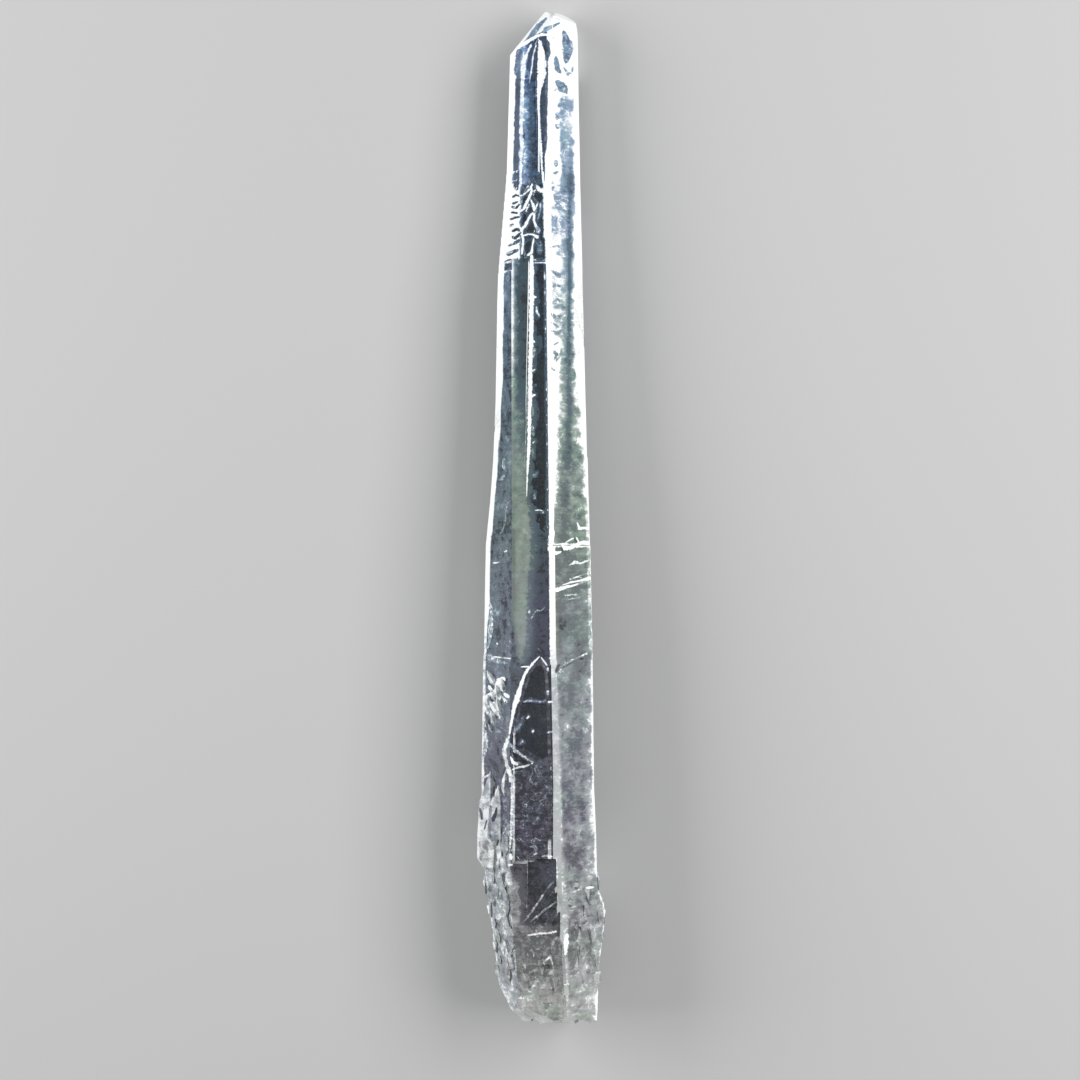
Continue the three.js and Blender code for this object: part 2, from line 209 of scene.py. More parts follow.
# the waves and pits of natural faces, pushed in so that the crystal keeps its size
reliefLook = {
    "wave": (0.035, 2.6, 2.0),  # depth in mm, size in mm, how much longer along the crystal
    "etch": (0.03, 0.9, 1.3),
    "rough": (0.16, 1.3, 1.4),
    "etchedTo": (54, 48),  # mm from the blunt end: where it begins to fade in, and where it is full
    "roughTo": (28, 22),
    "shoulder": {"rise": 0.55, "across": (0.1, 1.2), "along": (138, 145.5)},  # the tip's right side
    "notch": {"depth": 0.4, "middle": 0.55, "half": 0.3, "along": (148, 149.2)},  # in the tip
    "inside": 0.12,  # mm kept free before the crystal's full length
}


def pushIn(crystal, look):
    mesh, shoulder, notch = crystal.data, look["shoulder"], look["notch"]
    moves = []
    for vertex in mesh.vertices:
        s = alongCrystal(vertex.co.y)
        shares = {"wave": 1, "etch": 0.3 + 0.7 * smooth(*look["etchedTo"], s)}
        shares["rough"] = smooth(*look["roughTo"], s)
        depth = 0
        for key, share in shares.items():
            most, size, stretch = look[key]
            depth += share * most * (0.5 + 0.5 * patches(vertex.co, size, stretch))
        move = vertex.normal * -depth if vertex.normal.z > -0.9 else Vector()
        if s > shoulder["along"][0]:
            across = seenAcross(vertex.co)
            move.y += shoulder["rise"] * smooth(*shoulder["across"], across) * smooth(*shoulder["along"], s)
            off = (across - notch["middle"]) / notch["half"]
            move.y -= notch["depth"] * math.exp(-off ** 2) * smooth(*notch["along"], s)
            move.y = min(move.y, (cadHigh.y - vertex.co.y) / mm - look["inside"])
        moves.append(move * mm)
    for vertex, move in zip(mesh.vertices, moves):
        vertex.co += move


# frosting and painted highlights: how white each spot is, from 0 for clear to 1 for white
frostLook = {
    "opaqueFrom": 0.3,  # a clear face that reaches this is frosted
    "ink": 0.06,  # a mark no lighter than this is a dark line
    "sharpEdge": 24,  # degrees between two faces whose shared edge is painted white, as rubbed frost and a painted highlight
    "edgeStep": 0.15 * mm,
    "edgeReach": 0.05,  # mm beside an edge painted white that can't stay clear
    "markReach": 0.5,  # mm beside a mark where its distance is kept
    "drawnReach": 0.06,  # mm beside a mark that can't stay clear
    "whiteMark": 0.7,  # a mark that reaches this is a white one
    "endFrom": 0.45,  # how far a face of either end turns along the crystal
    "reliefFrom": 14,  # degrees from its prism face at which a face is relief
    "facetReliefFrom": 20,
}
frostPatches = {  # strength, size in mm, how much longer along the crystal and down its sides
    "blotch": [(1.2, 2.4, 1.6, 0.3)],
    "small": [(1.2, 0.9, 1.2, 0.3)],
    "streak": [(1.6, 1.1, 7, 1), (0.6, 0.6, 3, 1)],
}
# Marks in the quartz, drawn as lines in the camera's frame of 1080 pixels: how white
# each is, and then its points, as x, y and half the width. Up is towards the pointed end. A
# pixel is given in mm, and the rest in pixels.
markFrame = {"pixels": 1080, "pixel": 0.14837, "middle": 547.93, "bluntEnd": 1021.54}
markWider = {"upperRight": 1.3, "growthMarks": 1.3, "brokenLedges": 1.5}  # for all but the white ones
marks = {}
# the pointed end
marks["pointedEnd"] = [
    (0.95, [(540, 42, 1.9), (541, 52, 3), (542, 62, 4.6), (541.6, 74, 4.4), (539.4, 88, 2.4),
            (538.6, 97, 1.4), (538.9, 112, 1.1), (540, 132, 1.1), (541, 150, 1.4), (541.6, 164, 1),
            (542.8, 176, 0.9), (543.6, 183, 0.8)]),
    (0.95, [(531.6, 39.8, 0.9), (537, 36.2, 1.5), (542, 34.4, 1.7), (547, 34.6, 1.4)]),
    (0.82, [(531.5, 44, 0.8), (527.2, 53, 1.2), (524, 60, 1.8), (522.9, 74, 2.1), (522.2, 90, 1.7),
            (522, 106, 2.2), (521.2, 122, 1.7), (521.6, 143, 2), (520.8, 162, 1.2), (520.8, 184, 1.3)]),
    (0.8, [(536.2, 45, 0.5), (533.2, 55, 0.9), (532.2, 65, 0.8), (530.6, 75, 0.7), (529.5, 83, 0.4)]),
    (0.05, [(534.6, 40.5, 0.8), (532.8, 47, 1.6), (530.6, 55, 1.6), (528.8, 62, 1.5), (527.6, 68, 1.2)]),
    (0.05, [(536.8, 47, 0.8), (536.3, 55, 1.5), (535.6, 66, 1.2), (535, 78, 1.8)]),
    (0.04, [(542.4, 41.6, 1.1), (545, 39.8, 1.9), (547.4, 43, 2.6), (547.8, 50, 2.4), (547.7, 56, 1.8),
            (547.5, 60, 0.8)]),
    (0.45, [(543.4, 32.2, 1.3), (545.8, 29.6, 2.7), (549.2, 27.8, 2.1), (554, 25.8, 1.4),
            (560, 22.6, 0.8)]),
    (0.05, [(547.3, 68, 0.7), (547.2, 75, 1), (546.2, 82, 1.8), (544.7, 91, 2.8), (544, 101, 3.1),
            (543.5, 115, 3.2), (543.8, 130, 3), (544.2, 142, 2.6), (544.4, 149, 1.7), (543.8, 157, 0.6),
            (544.2, 166, 0.9), (543.9, 176, 1), (543.6, 182, 0.5)]),
    (0.3, [(519.5, 52, 3.2), (517.6, 60, 2.6), (517, 73, 2.8)]),
    (0.12, [(517.6, 80, 2.4), (517.8, 95, 2.4), (516.8, 112, 2.4), (516.5, 135, 2.2), (516.3, 160, 2.3),
            (516.4, 188, 2.4)]),
    (0.42, [(521, 45, 0.5), (527, 40.5, 1.4), (533.4, 33, 2.6), (538, 27, 2.6), (542, 22.5, 1.7),
            (546.8, 18, 0.9)]),
    (0.42, [(563.8, 32, 1.7), (565.6, 38, 3.3), (567.2, 44, 5.1), (567.5, 50, 5.3), (566.7, 56, 4),
            (566, 61, 2.3)]),
    (0.46, [(555.8, 57.5, 1.6), (556.6, 63, 2.9), (557.5, 69, 3), (560, 72, 1.7)]),
    (0.48, [(557.6, 82.5, 2.6), (560.8, 86, 4.5), (564.2, 89, 4.2), (566, 92, 2)]),
    (0.66, [(564, 68, 0.9), (568, 74, 2), (572, 72, 1.2), (573, 66, 1)]),
    (0.3, [(557, 89, 0.4), (554.6, 90.5, 0.6)]),
    (0.46, [(561.6, 99, 1.4), (563, 103, 2.4), (559, 106, 1.8)]),
    (0.68, [(553, 19.5, 0.6), (558, 19, 0.8), (560.5, 20, 0.5)]),
    (0.62, [(553, 37.5, 0.8), (552, 41, 0.7)]),
]
# the upper half of the right face
marks["upperRight"] = [
    (0.55, [(557, 114.5, 1.8), (557.6, 118, 1.6)]),
    (0.5, [(555.6, 125, 0.7), (557.8, 126.5, 2)]),
    (0.62, [(555.8, 162, 1.8), (556, 165, 1.6)]),
    (0.58, [(553, 173.5, 0.5), (555.5, 173, 1.4), (557.5, 172, 0.9)]),
    (0.64, [(552.5, 189, 1.2), (553.2, 187.5, 1)]),
    (0.63, [(557, 197, 3), (562, 201, 4.5), (560, 206, 3.6), (565, 210, 2.6)]),
    (0.58, [(551.6, 222, 0.6), (551.4, 227, 0.7), (553, 231.5, 0.7), (556.4, 231.6, 1.7),
            (558.6, 229, 0.8)]),
    (0.62, [(555.2, 222, 1.4), (557, 218, 0.9)]),
    (0.64, [(550, 247.5, 0.4), (555, 246.6, 1.3), (562, 246, 1)]),
    (0.7, [(558, 253, 1.4), (563, 255.5, 1.8)]),
    (0.52, [(551.4, 270.6, 0.6), (555, 272.6, 1.4), (559.2, 275.6, 1.9)]),
    (0.54, [(553.4, 287.4, 1.1), (556, 284.6, 1.1), (560, 286.4, 0.9)]),
    (0.56, [(553.6, 303, 1.6), (556.4, 301, 2), (560.4, 299.6, 1.4)]),
    (0.52, [(552, 314.4, 1.1), (556, 317.4, 1.7), (560.4, 316.6, 1.5), (564, 318.4, 1.2)]),
    (0.6, [(551.6, 322.6, 0.6), (555, 324.4, 1.1), (558.4, 327, 0.7)]),
    (0.54, [(552.4, 331.4, 1.1), (556, 333.2, 1.4), (561.4, 331.6, 1.6)]),
    (0.6, [(554.6, 344.6, 0.8), (558, 342.6, 0.6)]),
    (0.52, [(554.4, 352, 1.4), (556.6, 354.4, 1.6), (555, 359, 0.7)]),
    (0.62, [(556, 361, 0.7), (560.4, 355, 1), (561.4, 350, 0.8)]),
    (0.5, [(551.8, 368.4, 0.8), (554.4, 370.4, 0.8)]),
]
# growth marks between the two halves of the top face
marks["growthMarks"] = [
    (0.04, [(513, 197, 0.8), (516, 195, 0.9), (519, 196, 0.7)]),
    (0.04, [(513, 203.5, 0.8), (517, 202, 0.9)]),
    (0.04, [(512.5, 207, 0.9), (516, 208, 0.9), (519, 205, 0.8)]),
    (0.04, [(512, 212.5, 0.8), (517, 213, 0.9)]),
    (0.05, [(511, 219, 0.9), (515, 217.5, 1), (519, 217, 0.8)]),
    (0.04, [(510, 226, 0.9), (513, 224.5, 0.7)]),
    (0.04, [(513, 231, 1), (517, 229, 1), (520, 230.5, 1)]),
    (0.04, [(513, 237, 1), (515, 238.3, 1.2), (519, 235, 1.2), (521, 232, 0.8)]),
    (0.16, [(509, 245.6, 0.7), (515, 243, 1.2), (519, 240.4, 1.3)]),
    (0.14, [(508.5, 254, 1.6), (512, 252.5, 1.4), (517, 250, 1.2)]),
    (0.03, [(505.5, 263, 1.4), (508, 261.5, 1.4), (511, 260.5, 1.1)]),
    (0.95, [(519, 196, 0.7), (523, 195, 0.8), (527, 191.5, 0.9), (531, 188, 1.1), (532, 184, 0.9)]),
    (0.97, [(531, 187, 1.3), (531.5, 192, 1.2), (529.5, 197, 1.2), (526, 204, 1.3), (524, 209, 1.1),
            (521, 211, 0.9)]),
    (0.97, [(536.5, 186, 1.5), (539.5, 190, 1.7), (543, 190.6, 2), (545, 192, 1.8)]),
    (0.9, [(531, 200, 0.8), (533, 205, 1.3), (534.5, 210, 1.5), (536, 207, 0.9), (538, 203, 0.7)]),
    (0.95, [(533, 213, 0.9), (530, 216, 1.3), (528, 220, 1.3), (525, 226, 1.3), (522, 229, 1.5)]),
    (0.9, [(534.5, 214, 1.4), (533.5, 220, 0.9), (536, 226, 1.3)]),
    (0.66, [(537, 227, 1.2), (538.4, 231, 1.7)]),
    (0.97, [(520.5, 228, 1.1), (522, 234, 1.2), (523.5, 240, 1.1), (522.5, 247, 1.1), (522, 254, 0.9)]),
    (0.95, [(523, 236, 0.7), (528, 234, 0.8), (533, 234.5, 0.9), (537, 237, 1.9)]),
    (0.95, [(534, 238, 0.7), (532.4, 246, 0.8), (531.5, 253, 1.3), (528, 255, 1.1)]),
    (0.55, [(541, 203, 0.8), (540, 212, 0.7), (538, 219, 0.6)]),
    (0.4, [(539, 243, 1.6), (540, 252, 1.8)]),
]
# the top face above its middle
marks["topMiddle"] = [
    (1, [(531.6, 256, 1.6), (531.8, 270, 2), (531.7, 300, 2.2), (530.9, 345, 2.2), (530.3, 372, 2),
         (529.9, 400, 1.9), (529.3, 432, 1.7), (528.4, 456, 1.4), (527.3, 476, 0.8), (526.6, 497, 0.3)]),
    (0.95, [(532.6, 296.5, 1.4), (535.4, 297, 1.2)]),
    (0.9, [(532, 340, 1.2), (534.4, 342, 1.1)]),
    (0.9, [(532, 371, 1), (534.2, 370, 1.1)]),
    (0.95, [(530.6, 396, 1.2), (534.4, 395, 1.3)]),
    (0.5, [(534, 349, 1.8), (533.4, 357, 1.1)]),
    (0.45, [(535.6, 384.6, 0.8), (536, 386.6, 0.8)]),
    (0.48, [(532.4, 408, 1.4), (532.6, 415, 1.3)]),
    (0.48, [(532.4, 427, 1.5), (533, 435, 1.3)]),
    (0.78, [(533.4, 442.6, 0.9), (534.8, 441, 0.8)]),
    (0.4, [(532.6, 449, 1.4), (533.6, 458, 1)]),
    (0.42, [(534, 476, 1.3), (537.4, 472.6, 1.1)]),
    (0.4, [(534.6, 493, 0.9), (534.4, 499, 1.3)]),
    (0.56, [(536.6, 307, 0.7), (536.8, 312, 1.1), (539.4, 317, 0.7)]),
    (0.85, [(534, 262.8, 0.5), (545, 262.6, 0.7)]),
    (0.9, [(534.6, 510.4, 0.4), (540, 510, 0.6), (542.4, 511, 0.9), (543.6, 513, 0.5)]),
    (0.04, [(545, 264, 0.9), (545.8, 330, 0.9), (546.6, 400, 0.9), (547.4, 470, 0.9), (548.2, 540, 0.8),
            (548.6, 650, 0.8)]),
    (0.72, [(529.4, 610.6, 1.2), (529.6, 613, 1)]),
    (0.45, [(531, 619, 0.5), (535, 612, 0.7), (538, 610, 0.6), (541, 611.6, 0.6), (545, 607, 0.5)]),
    (0.03, [(536, 614.6, 0.5), (541, 613.4, 0.8), (547, 613, 0.8)]),
    (0.5, [(538.6, 648.6, 1), (539, 650, 0.6)]),
]
# broken ledges across the right face, and its crack
marks["brokenLedges"] = [
    (1, [(548.6, 536, 0.6), (550.6, 541, 2.2), (549.6, 549, 2.4), (551.5, 556, 1.6)]),
    (1, [(577.5, 523.5, 1), (579.6, 528.5, 1.6), (584, 528, 1.3), (590, 528.6, 1.6)]),
    (1, [(561, 545, 0.8), (564.6, 548.6, 1.8), (572, 547.4, 1.8), (577.5, 544, 1.6), (584, 542, 1.5),
         (590.6, 543.6, 1.6)]),
    (0.86, [(562.6, 545, 0.6), (568, 541, 0.8), (573, 538.4, 0.8)]),
    (0.9, [(576.4, 538, 0.8), (578.6, 541.4, 0.9)]),
    (0.95, [(550.5, 552, 1.6), (556.6, 553.4, 1.8), (561, 551.6, 0.8)]),
    (0.82, [(569.6, 565, 0.5), (575, 562, 1.8), (580, 563.4, 1), (588, 560.6, 0.8)]),
    (1, [(551, 591, 2.2), (558, 589.4, 2), (567, 586.6, 1.3), (577.4, 584.6, 0.5)]),
    (1, [(561.6, 585.4, 0.4), (570, 582.6, 0.8), (580, 580.6, 1), (590, 578, 1.4)]),
    (0.78, [(573, 578, 0.5), (577, 577, 0.9), (582, 577.6, 0.4)]),
    (0.72, [(565, 595.6, 0.4), (571, 594.6, 0.8), (577, 594.8, 0.5)]),
    (0.05, [(560.8, 545, 0.5), (562.4, 549.6, 1), (561.6, 552, 0.5)]),
    (0.08, [(575, 539, 0.8), (576.4, 542, 0.9)]),
    (0.02, [(560, 664.4, 0.5), (558, 666.6, 0.9), (556, 671.6, 0.8)]),
    (0.1, [(562, 668, 0.5), (567, 665.4, 0.6), (572.6, 662.6, 0.7)]),
    (0.2, [(573, 661.6, 0.5), (580, 661, 0.5), (586.6, 665.4, 0.5)]),
    (0.2, [(566, 658, 0.9), (566.6, 661, 0.6)]),
    (0.2, [(569, 655, 0.4), (575, 651, 0.5), (582, 646.6, 0.4)]),
]
# the arch and the notch in its side
marks["archAndNotch"] = [
    (0.97, [(539.4, 656.6, 0.6), (533.6, 662.6, 1), (528, 669, 1.2), (523.6, 677, 1.4), (521, 685, 2),
            (518.6, 694, 2.6), (516, 702, 2.6), (513.4, 711, 1.6), (511.8, 719, 1.3), (510.6, 727, 1.2),
            (509.4, 734, 0.8)]),
    (0.9, [(541, 657, 0.5), (544, 661.6, 0.9), (547, 665.4, 0.8)]),
    (0.72, [(547.4, 667.6, 1.1), (548, 671, 0.8)]),
    (0.95, [(521, 666.8, 0.7), (528.6, 666.6, 0.8)]),
    (0.55, [(524, 702, 0.6), (527, 700.8, 0.8), (535, 701, 0.8), (543, 701.6, 0.9), (545, 700.6, 1.1)]),
    (0.97, [(549, 701.8, 1.3), (551.4, 701.8, 1.3)]),
    (0.64, [(547.6, 691, 1.3), (548, 695, 1.2)]),
    (0.95, [(527.4, 718, 1), (529, 716.4, 1)]),
    (0.95, [(532.6, 731.8, 0.9), (533.4, 730.8, 0.9)]),
    (0.68, [(549, 732.4, 1.3), (551.4, 731.8, 1.1)]),
    (0.58, [(520.4, 744, 0.7), (522.4, 741, 1.2)]),
    (0.55, [(524, 735.6, 0.6), (524.8, 734.6, 0.6)]),
    (0.42, [(513, 733, 1.2), (518, 728, 1.6), (521.4, 722, 1.2), (523.4, 716, 0.8)]),
    (0.8, [(509, 736, 1), (506.8, 742, 1.5), (504.4, 749, 2), (505, 757, 1.8), (506.8, 765, 2),
           (509.6, 773, 2.2), (511.8, 782, 2)]),
    (0.76, [(512, 784, 1.6), (512, 800, 1.3), (511.4, 820, 1.3), (511, 836, 1.2), (510.2, 848, 0.8)]),
    (0.62, [(510, 744, 0.8), (514.6, 749.6, 1.3), (521, 754.6, 1.2), (527, 758.6, 1), (533.6, 762.6, 0.7)]),
    (0.04, [(513, 753, 0.7), (519, 757.4, 1), (526, 761.4, 0.9), (531, 763, 0.5)]),
    (0.85, [(512, 769.6, 0.8), (518, 767.4, 1.2), (525, 766.4, 1), (530, 764.4, 0.8), (533.6, 762.8, 0.5)]),
    (1, [(510.8, 757, 0.8), (512.6, 762, 2), (516.4, 764, 1.6)]),
]
# the left face and its sheaf of small crystals
marks["leftSheaf"] = [
    (0.36, [(507.5, 272, 2.2), (507, 284, 2.4)]),
    (0.38, [(506.6, 437, 1.6), (507.4, 443, 1.4)]),
    (0.5, [(504, 459, 1.3), (503.6, 466, 1.6), (505.6, 471, 0.9)]),
    (0.62, [(501, 479, 1.8), (503.6, 475.6, 1.2)]),
    (0.42, [(510, 501, 0.6), (506, 505, 1), (506, 514, 0.9), (505, 522, 0.9), (503, 529, 0.8),
            (499.6, 534, 0.6)]),
    (0.97, [(504.6, 551.8, 0.5), (506.6, 550.8, 0.8)]),
    (0.85, [(493.4, 562.8, 0.5), (497, 562.8, 0.9), (499, 562, 0.5)]),
    (0.8, [(497, 643.4, 0.9), (497.4, 644, 0.8)]),
    (0.5, [(509.6, 641, 0.8), (510, 643, 0.7)]),
    (0.68, [(490, 604, 1.4), (491, 614, 1.8), (490.6, 628, 2.4), (489.4, 640, 1.8), (487.6, 648, 1)]),
    (0.42, [(494, 610, 1.4), (498, 614, 1.3)]),
    (0.58, [(486.6, 654.5, 1.4), (491, 658, 2.8), (497, 661.2, 2.2), (507, 663.2, 0.8)]),
    (1, [(489.4, 673.6, 0.8), (491.6, 677.6, 1), (494, 682, 0.9)]),
    (1, [(496, 686, 1.6), (499.6, 681, 3.2), (502.6, 679.6, 3)]),
    (1, [(500, 687, 2.4), (494.6, 692, 2.2), (488, 696, 2), (482, 698.6, 1.6)]),
    (0.88, [(489.4, 686.6, 1.6), (491.4, 690, 1.6)]),
    (0.92, [(505, 694, 1.5), (508, 696.6, 1.7)]),
    (0.84, [(499, 696, 2.4), (498.6, 702, 1.9)]),
    (0.78, [(488, 704, 2.6), (487.6, 710, 2.2)]),
    (0.9, [(493.6, 703, 1.6), (493.8, 709, 1.6)]),
    (0.95, [(497.6, 711, 0.8), (497.8, 713, 0.7)]),
    (0.8, [(493, 716, 1.4), (491.6, 722, 0.9)]),
    (0.95, [(482.6, 714, 1.3), (482, 720, 1.4)]),
    (0.5, [(498, 731.6, 0.8), (501.6, 731.4, 0.8)]),
    (0.66, [(485.6, 731, 1.2), (486, 742, 2), (484.6, 752, 2), (483, 759, 1)]),
    (0.05, [(491, 760, 1.6), (495, 766, 2.8), (498, 771, 2)]),
]
# the rough left side near the blunt end
marks["roughLeft"] = [
    (0.1, [(479.4, 808, 0.9), (481.4, 813, 1.4), (482, 819, 1)]),
    (0.1, [(496.6, 808, 0.8), (495.4, 814, 1.7), (493.4, 819.6, 2)]),
    (0.12, [(484.6, 829, 0.6), (486.6, 821, 0.7)]),
    (0.1, [(489, 834, 0.6), (491, 837, 0.9)]),
    (0.15, [(497, 845, 0.7), (498.4, 840, 0.8)]),
    (0.08, [(502, 852, 0.6), (502.4, 856, 1)]),
    (0.15, [(494.4, 787, 0.8), (494, 797, 0.6)]),
    (0.32, [(505.6, 803, 1.4), (505.4, 812, 1.4)]),
    (0.42, [(505, 822, 2.6), (503, 832, 2.6), (507, 838, 1.6)]),
    (0.95, [(510.6, 855.6, 2), (511, 858.6, 1.4)]),
    (0.84, [(509, 865, 1.2), (512, 865, 1)]),
    (0.78, [(500.6, 915, 1.8), (500, 918, 1.4)]),
    (0.8, [(503, 952, 1.4), (504.6, 955, 1.2)]),
]
# veils and ledges in the blunt end, and a painted highlight on its bulge
marks["bluntVeils"] = [
    (0.6, [(520.4, 861.6, 0.5), (527, 861, 0.5), (534, 861.4, 0.4)]),
    (0.55, [(517, 856, 0.5), (520, 860, 0.5)]),
    (0.5, [(526, 858, 0.5), (532, 856.6, 0.6), (539, 852, 0.5)]),
    (0.6, [(542, 856.6, 0.8), (548, 855, 1), (551.6, 856.6, 0.6)]),
    (0.42, [(523, 922.6, 0.8), (530, 914, 1), (538, 902.6, 0.9), (547, 889, 0.9), (553.6, 881.6, 1.2)]),
    (0.45, [(530, 922, 0.8), (538, 915.6, 1), (547, 908, 0.9), (557, 901.6, 0.9)]),
    (0.85, [(528, 935, 0.5), (537, 934, 1.5), (544, 933.6, 1), (552, 932.6, 1.2), (556, 931.6, 1)]),
    (0.66, [(536, 930, 0.7), (537.4, 936, 1.2)]),
    (0.9, [(567, 935, 1.6), (566, 942, 2.2), (565.6, 949, 1.8), (565.4, 954, 1.4)]),
    (0.26, [(543, 937, 0.8), (551, 938, 1.4), (559, 943, 1.2), (562, 949, 0.7)]),
    (0.3, [(571, 935, 1), (573, 946, 1.4), (576, 955, 1.2), (574, 960, 0.6)]),
    (0.36, [(577, 938, 0.8), (579, 949, 1.2)]),
    (0.34, [(572, 908, 1.2), (574, 918, 2.2), (572, 926, 1.6)]),
    (0.34, [(570, 882, 1.2), (572, 887, 1.6)]),
    (0.3, [(583, 923, 1.6), (586, 921, 1)]),
    (0.38, [(548, 972, 2.2), (553, 968.6, 3.2), (556, 965, 2)]),
    (0.44, [(523.4, 975, 1.8), (524, 979, 1.6)]),
    (0.45, [(530, 972, 1), (536, 970, 1.2)]),
    (0.44, [(571, 975, 1.6), (575, 970, 1.8)]),
    (0.46, [(536, 949.6, 0.8), (541, 947.6, 1.2)]),
    (0.75, [(545, 961, 1.2), (549, 957.6, 1.4)]),
    # a painted highlight on the bulge, and a paler line beside it
    (1, [(586.6, 888, 0.9), (590, 887.6, 1.5), (592.6, 887.2, 1)]),
    (0.72, [(570, 893, 0.6), (576, 890.6, 0.9), (582, 889, 0.6)]),
]
# paler and darker clouds: across, along, the size each way in mm, and how much paler
clouds = [
    (-2.9, 136.6, 0.5, 1.6, 0.12), (-3.3, 129.8, 0.5, 1.2, 0.14), (-2.7, 126.5, 0.4, 1.4, -0.1),
    (3.1, 133.0, 0.7, 3.0, 0.1), (2.4, 128.5, 0.6, 1.6, 0.14), (3.4, 125.6, 0.5, 1.8, -0.12),
    (-7.8, 60.0, 0.9, 2.0, 0.1), (3.6, 25.0, 1.5, 1.5, -0.24), (6.1, 22.2, 0.8, 0.9, 0.12),
    (5.3, 31.0, 0.9, 1.3, -0.08), (6.5, 30.4, 0.4, 3.0, 0.16), (3.6, 33.0, 0.8, 3.4, -0.08),
    (4.4, 39.5, 1.4, 2.6, -0.06), (2.4, 44.0, 0.8, 2.6, -0.06), (5.6, 50.5, 1.0, 1.6, 0.08),
    (0.6, 60.0, 0.6, 3.6, 0.2), (1.9, 60.5, 0.5, 3.0, -0.1), (4.6, 61.0, 1.6, 1.0, 0.06),
    (-3.6, 4.6, 0.6, 0.8, -0.06), (0.4, 4.4, 1.6, 0.9, -0.05), (3.1, 9.8, 0.7, 1.2, -0.1),
    (-2.0, 10.6, 0.8, 0.9, 0.05), (-7.7, 61.0, 0.7, 3.0, 0.18),
    (-4.9, 23.0, 0.8, 1.4, -0.1), (0.0, 7.7, 0.9, 0.9, -0.1), (-3.0, 57.5, 0.8, 2.4, 0.06),
]


def markPieces(look):
    # the straight pieces of every mark in mm, listed by each millimetre of the crystal they reach
    pixel, rows = markFrame["pixel"], {}
    for group, lines in marks.items():
        for tone, line in lines:
            wider = markWider.get(group, 1) if tone < look["whiteMark"] else 1
            points = [((x - markFrame["middle"]) * pixel, (markFrame["bluntEnd"] - y) * pixel,
                       half * pixel * wider) for x, y, half in line]
            for start, end in zip(points, points[1:]):
                edge = max(start[2], end[2]) + look["markReach"]
                low, high = min(start[1], end[1]) - edge, max(start[1], end[1]) + edge
                for place in range(math.floor(low), math.floor(high) + 1):
                    rows.setdefault(place, []).append((*start, *end, tone))
    return rows


def besideMark(across, s, piece):
    # millimetres from the middle of a mark, below 0 on one side, and half its width there, which
    # goes below 0 past the mark's ends
    x0, s0, w0, x1, s1, w1, tone = piece
    dx, ds = x1 - x0, s1 - s0
    length = math.hypot(dx, ds)
    t = ((across - x0) * dx + (s - s0) * ds) / length ** 2
    side = ((across - x0) * ds - (s - s0) * dx) / length
    past = max(0, -t, t - 1) * length
    width = w0 + (w1 - w0) * min(1, max(0, t))
    return side, math.sqrt(width ** 2 - past ** 2) if past < width else width - past


def outlineOf(seen):
    # the crystal's left and right limits as the camera sees them, for each millimetre along it
    low, high = {}, {}
    for across, s in seen:
        place = int(s)
        low[place] = min(across, low.get(place, across))
        high[place] = max(across, high.get(place, across))
    return low, high


def between(table, s):
    place = int(s)
    here, after = table.get(place, 0), table.get(place + 1, table.get(place, 0))
    return here + (after - here) * (s - place)


def cloudAt(across, s):
    total = 0
    for x, y, wide, long, strength in clouds:
        u, v = (across - x) / wide, (s - y) / long
        if abs(u) < 2.5 and abs(v) < 2.5:
            total += strength * math.exp(-u * u - v * v)
    return total


zones = {  # mm from the blunt end
    "broken": 8,  # faces across the crystal up to here are its blunt end
    "milky": 24,  # the top face is milky below this
    "overgrown": 27,  # relief below this is rough overgrowth
    "arch": 53,  # the point of the arch plate
    "aboveArch": 57,  # relief above this is pale
    "leftMarks": 112.7,  # the growth marks begin here on the left face
    "growthMarks": 113.2,
    "ink": 124.3,  # dark blue above this
    "tip": 139,  # faces across the crystal above this are its pointed end
    "whiteTip": 140,  # relief above this is painted white, as frost and a painted highlight, and the lower side faces are frosted again
}


def basics(spot):
    return spot["s"], spot["across"], spot["blotch"], spot["small"]


def finish(frost, grain, edges=-0.3, light=0.5, blue=0, clear=False):
    # frost and grain, the width of white edges in mm (rubbed frost and a painted highlight) with none
    # below 0, how light and how blue it is, and whether it stays clear where the frost is thin
    return frost, grain, edges, light, blue, clear


topLook = {  # lists are of (s, value) points, in mm, or frost for sage and milky
    "ridge": [(53.4, -4.1), (54.4, -3.6), (56.6, -3.25), (59.6, -3.15), (65.5, -2.99),
              (68.5, -2.66), (74.4, -2.66), (78, -3.17), (87.5, -2.87), (92.2, -2.81), (101, -2.63),
              (113, -2.51)],
    "leftEdge": [(53.4, -4.1), (54.4, -4.6), (56.6, -4.93), (59.6, -5.25)],
    # where the white strip along the edge facet begins: frost and a painted highlight
    "whiteFrom": [(55, 0.23), (71.4, 0.16), (82, 0), (92, -0.11), (102.6, -0.24), (112.4, -0.36),
                  (117, -0.55), (124, -0.73), (127.8, -0.5), (130.8, -0.17), (142, -0.1)],
    "sage": [(60, 0.4), (66, 0.48), (74, 0.48), (80, 0.38), (90, 0.37)],
    "archFrom": [(46, -5.3), (47.7, -4.8), (50.7, -4.0), (53.6, -2.4), (55, -1.2)],
    "milky": [(1, 0.4), (2.5, 0.56), (5, 0.42), (8, 0.28), (12, 0.24), (20, 0.44)],
    "sageFrom": (103, 82),  # where the white stripe turns sage
    "clearFrom": 73,  # where the dark band becomes clear
    "greyTip": (-2.1, -3.6),  # across the crystal, as are the next two
    "ladder": (-3.9, -4.3),
    "brown": (-5.6, -4.2),
    "etched": (43, 36),  # where the arch plate turns etched
    "window": (-2.9, 0.9, 14.0, 23.9),  # left, right and both ends of the dark part at the blunt end
}


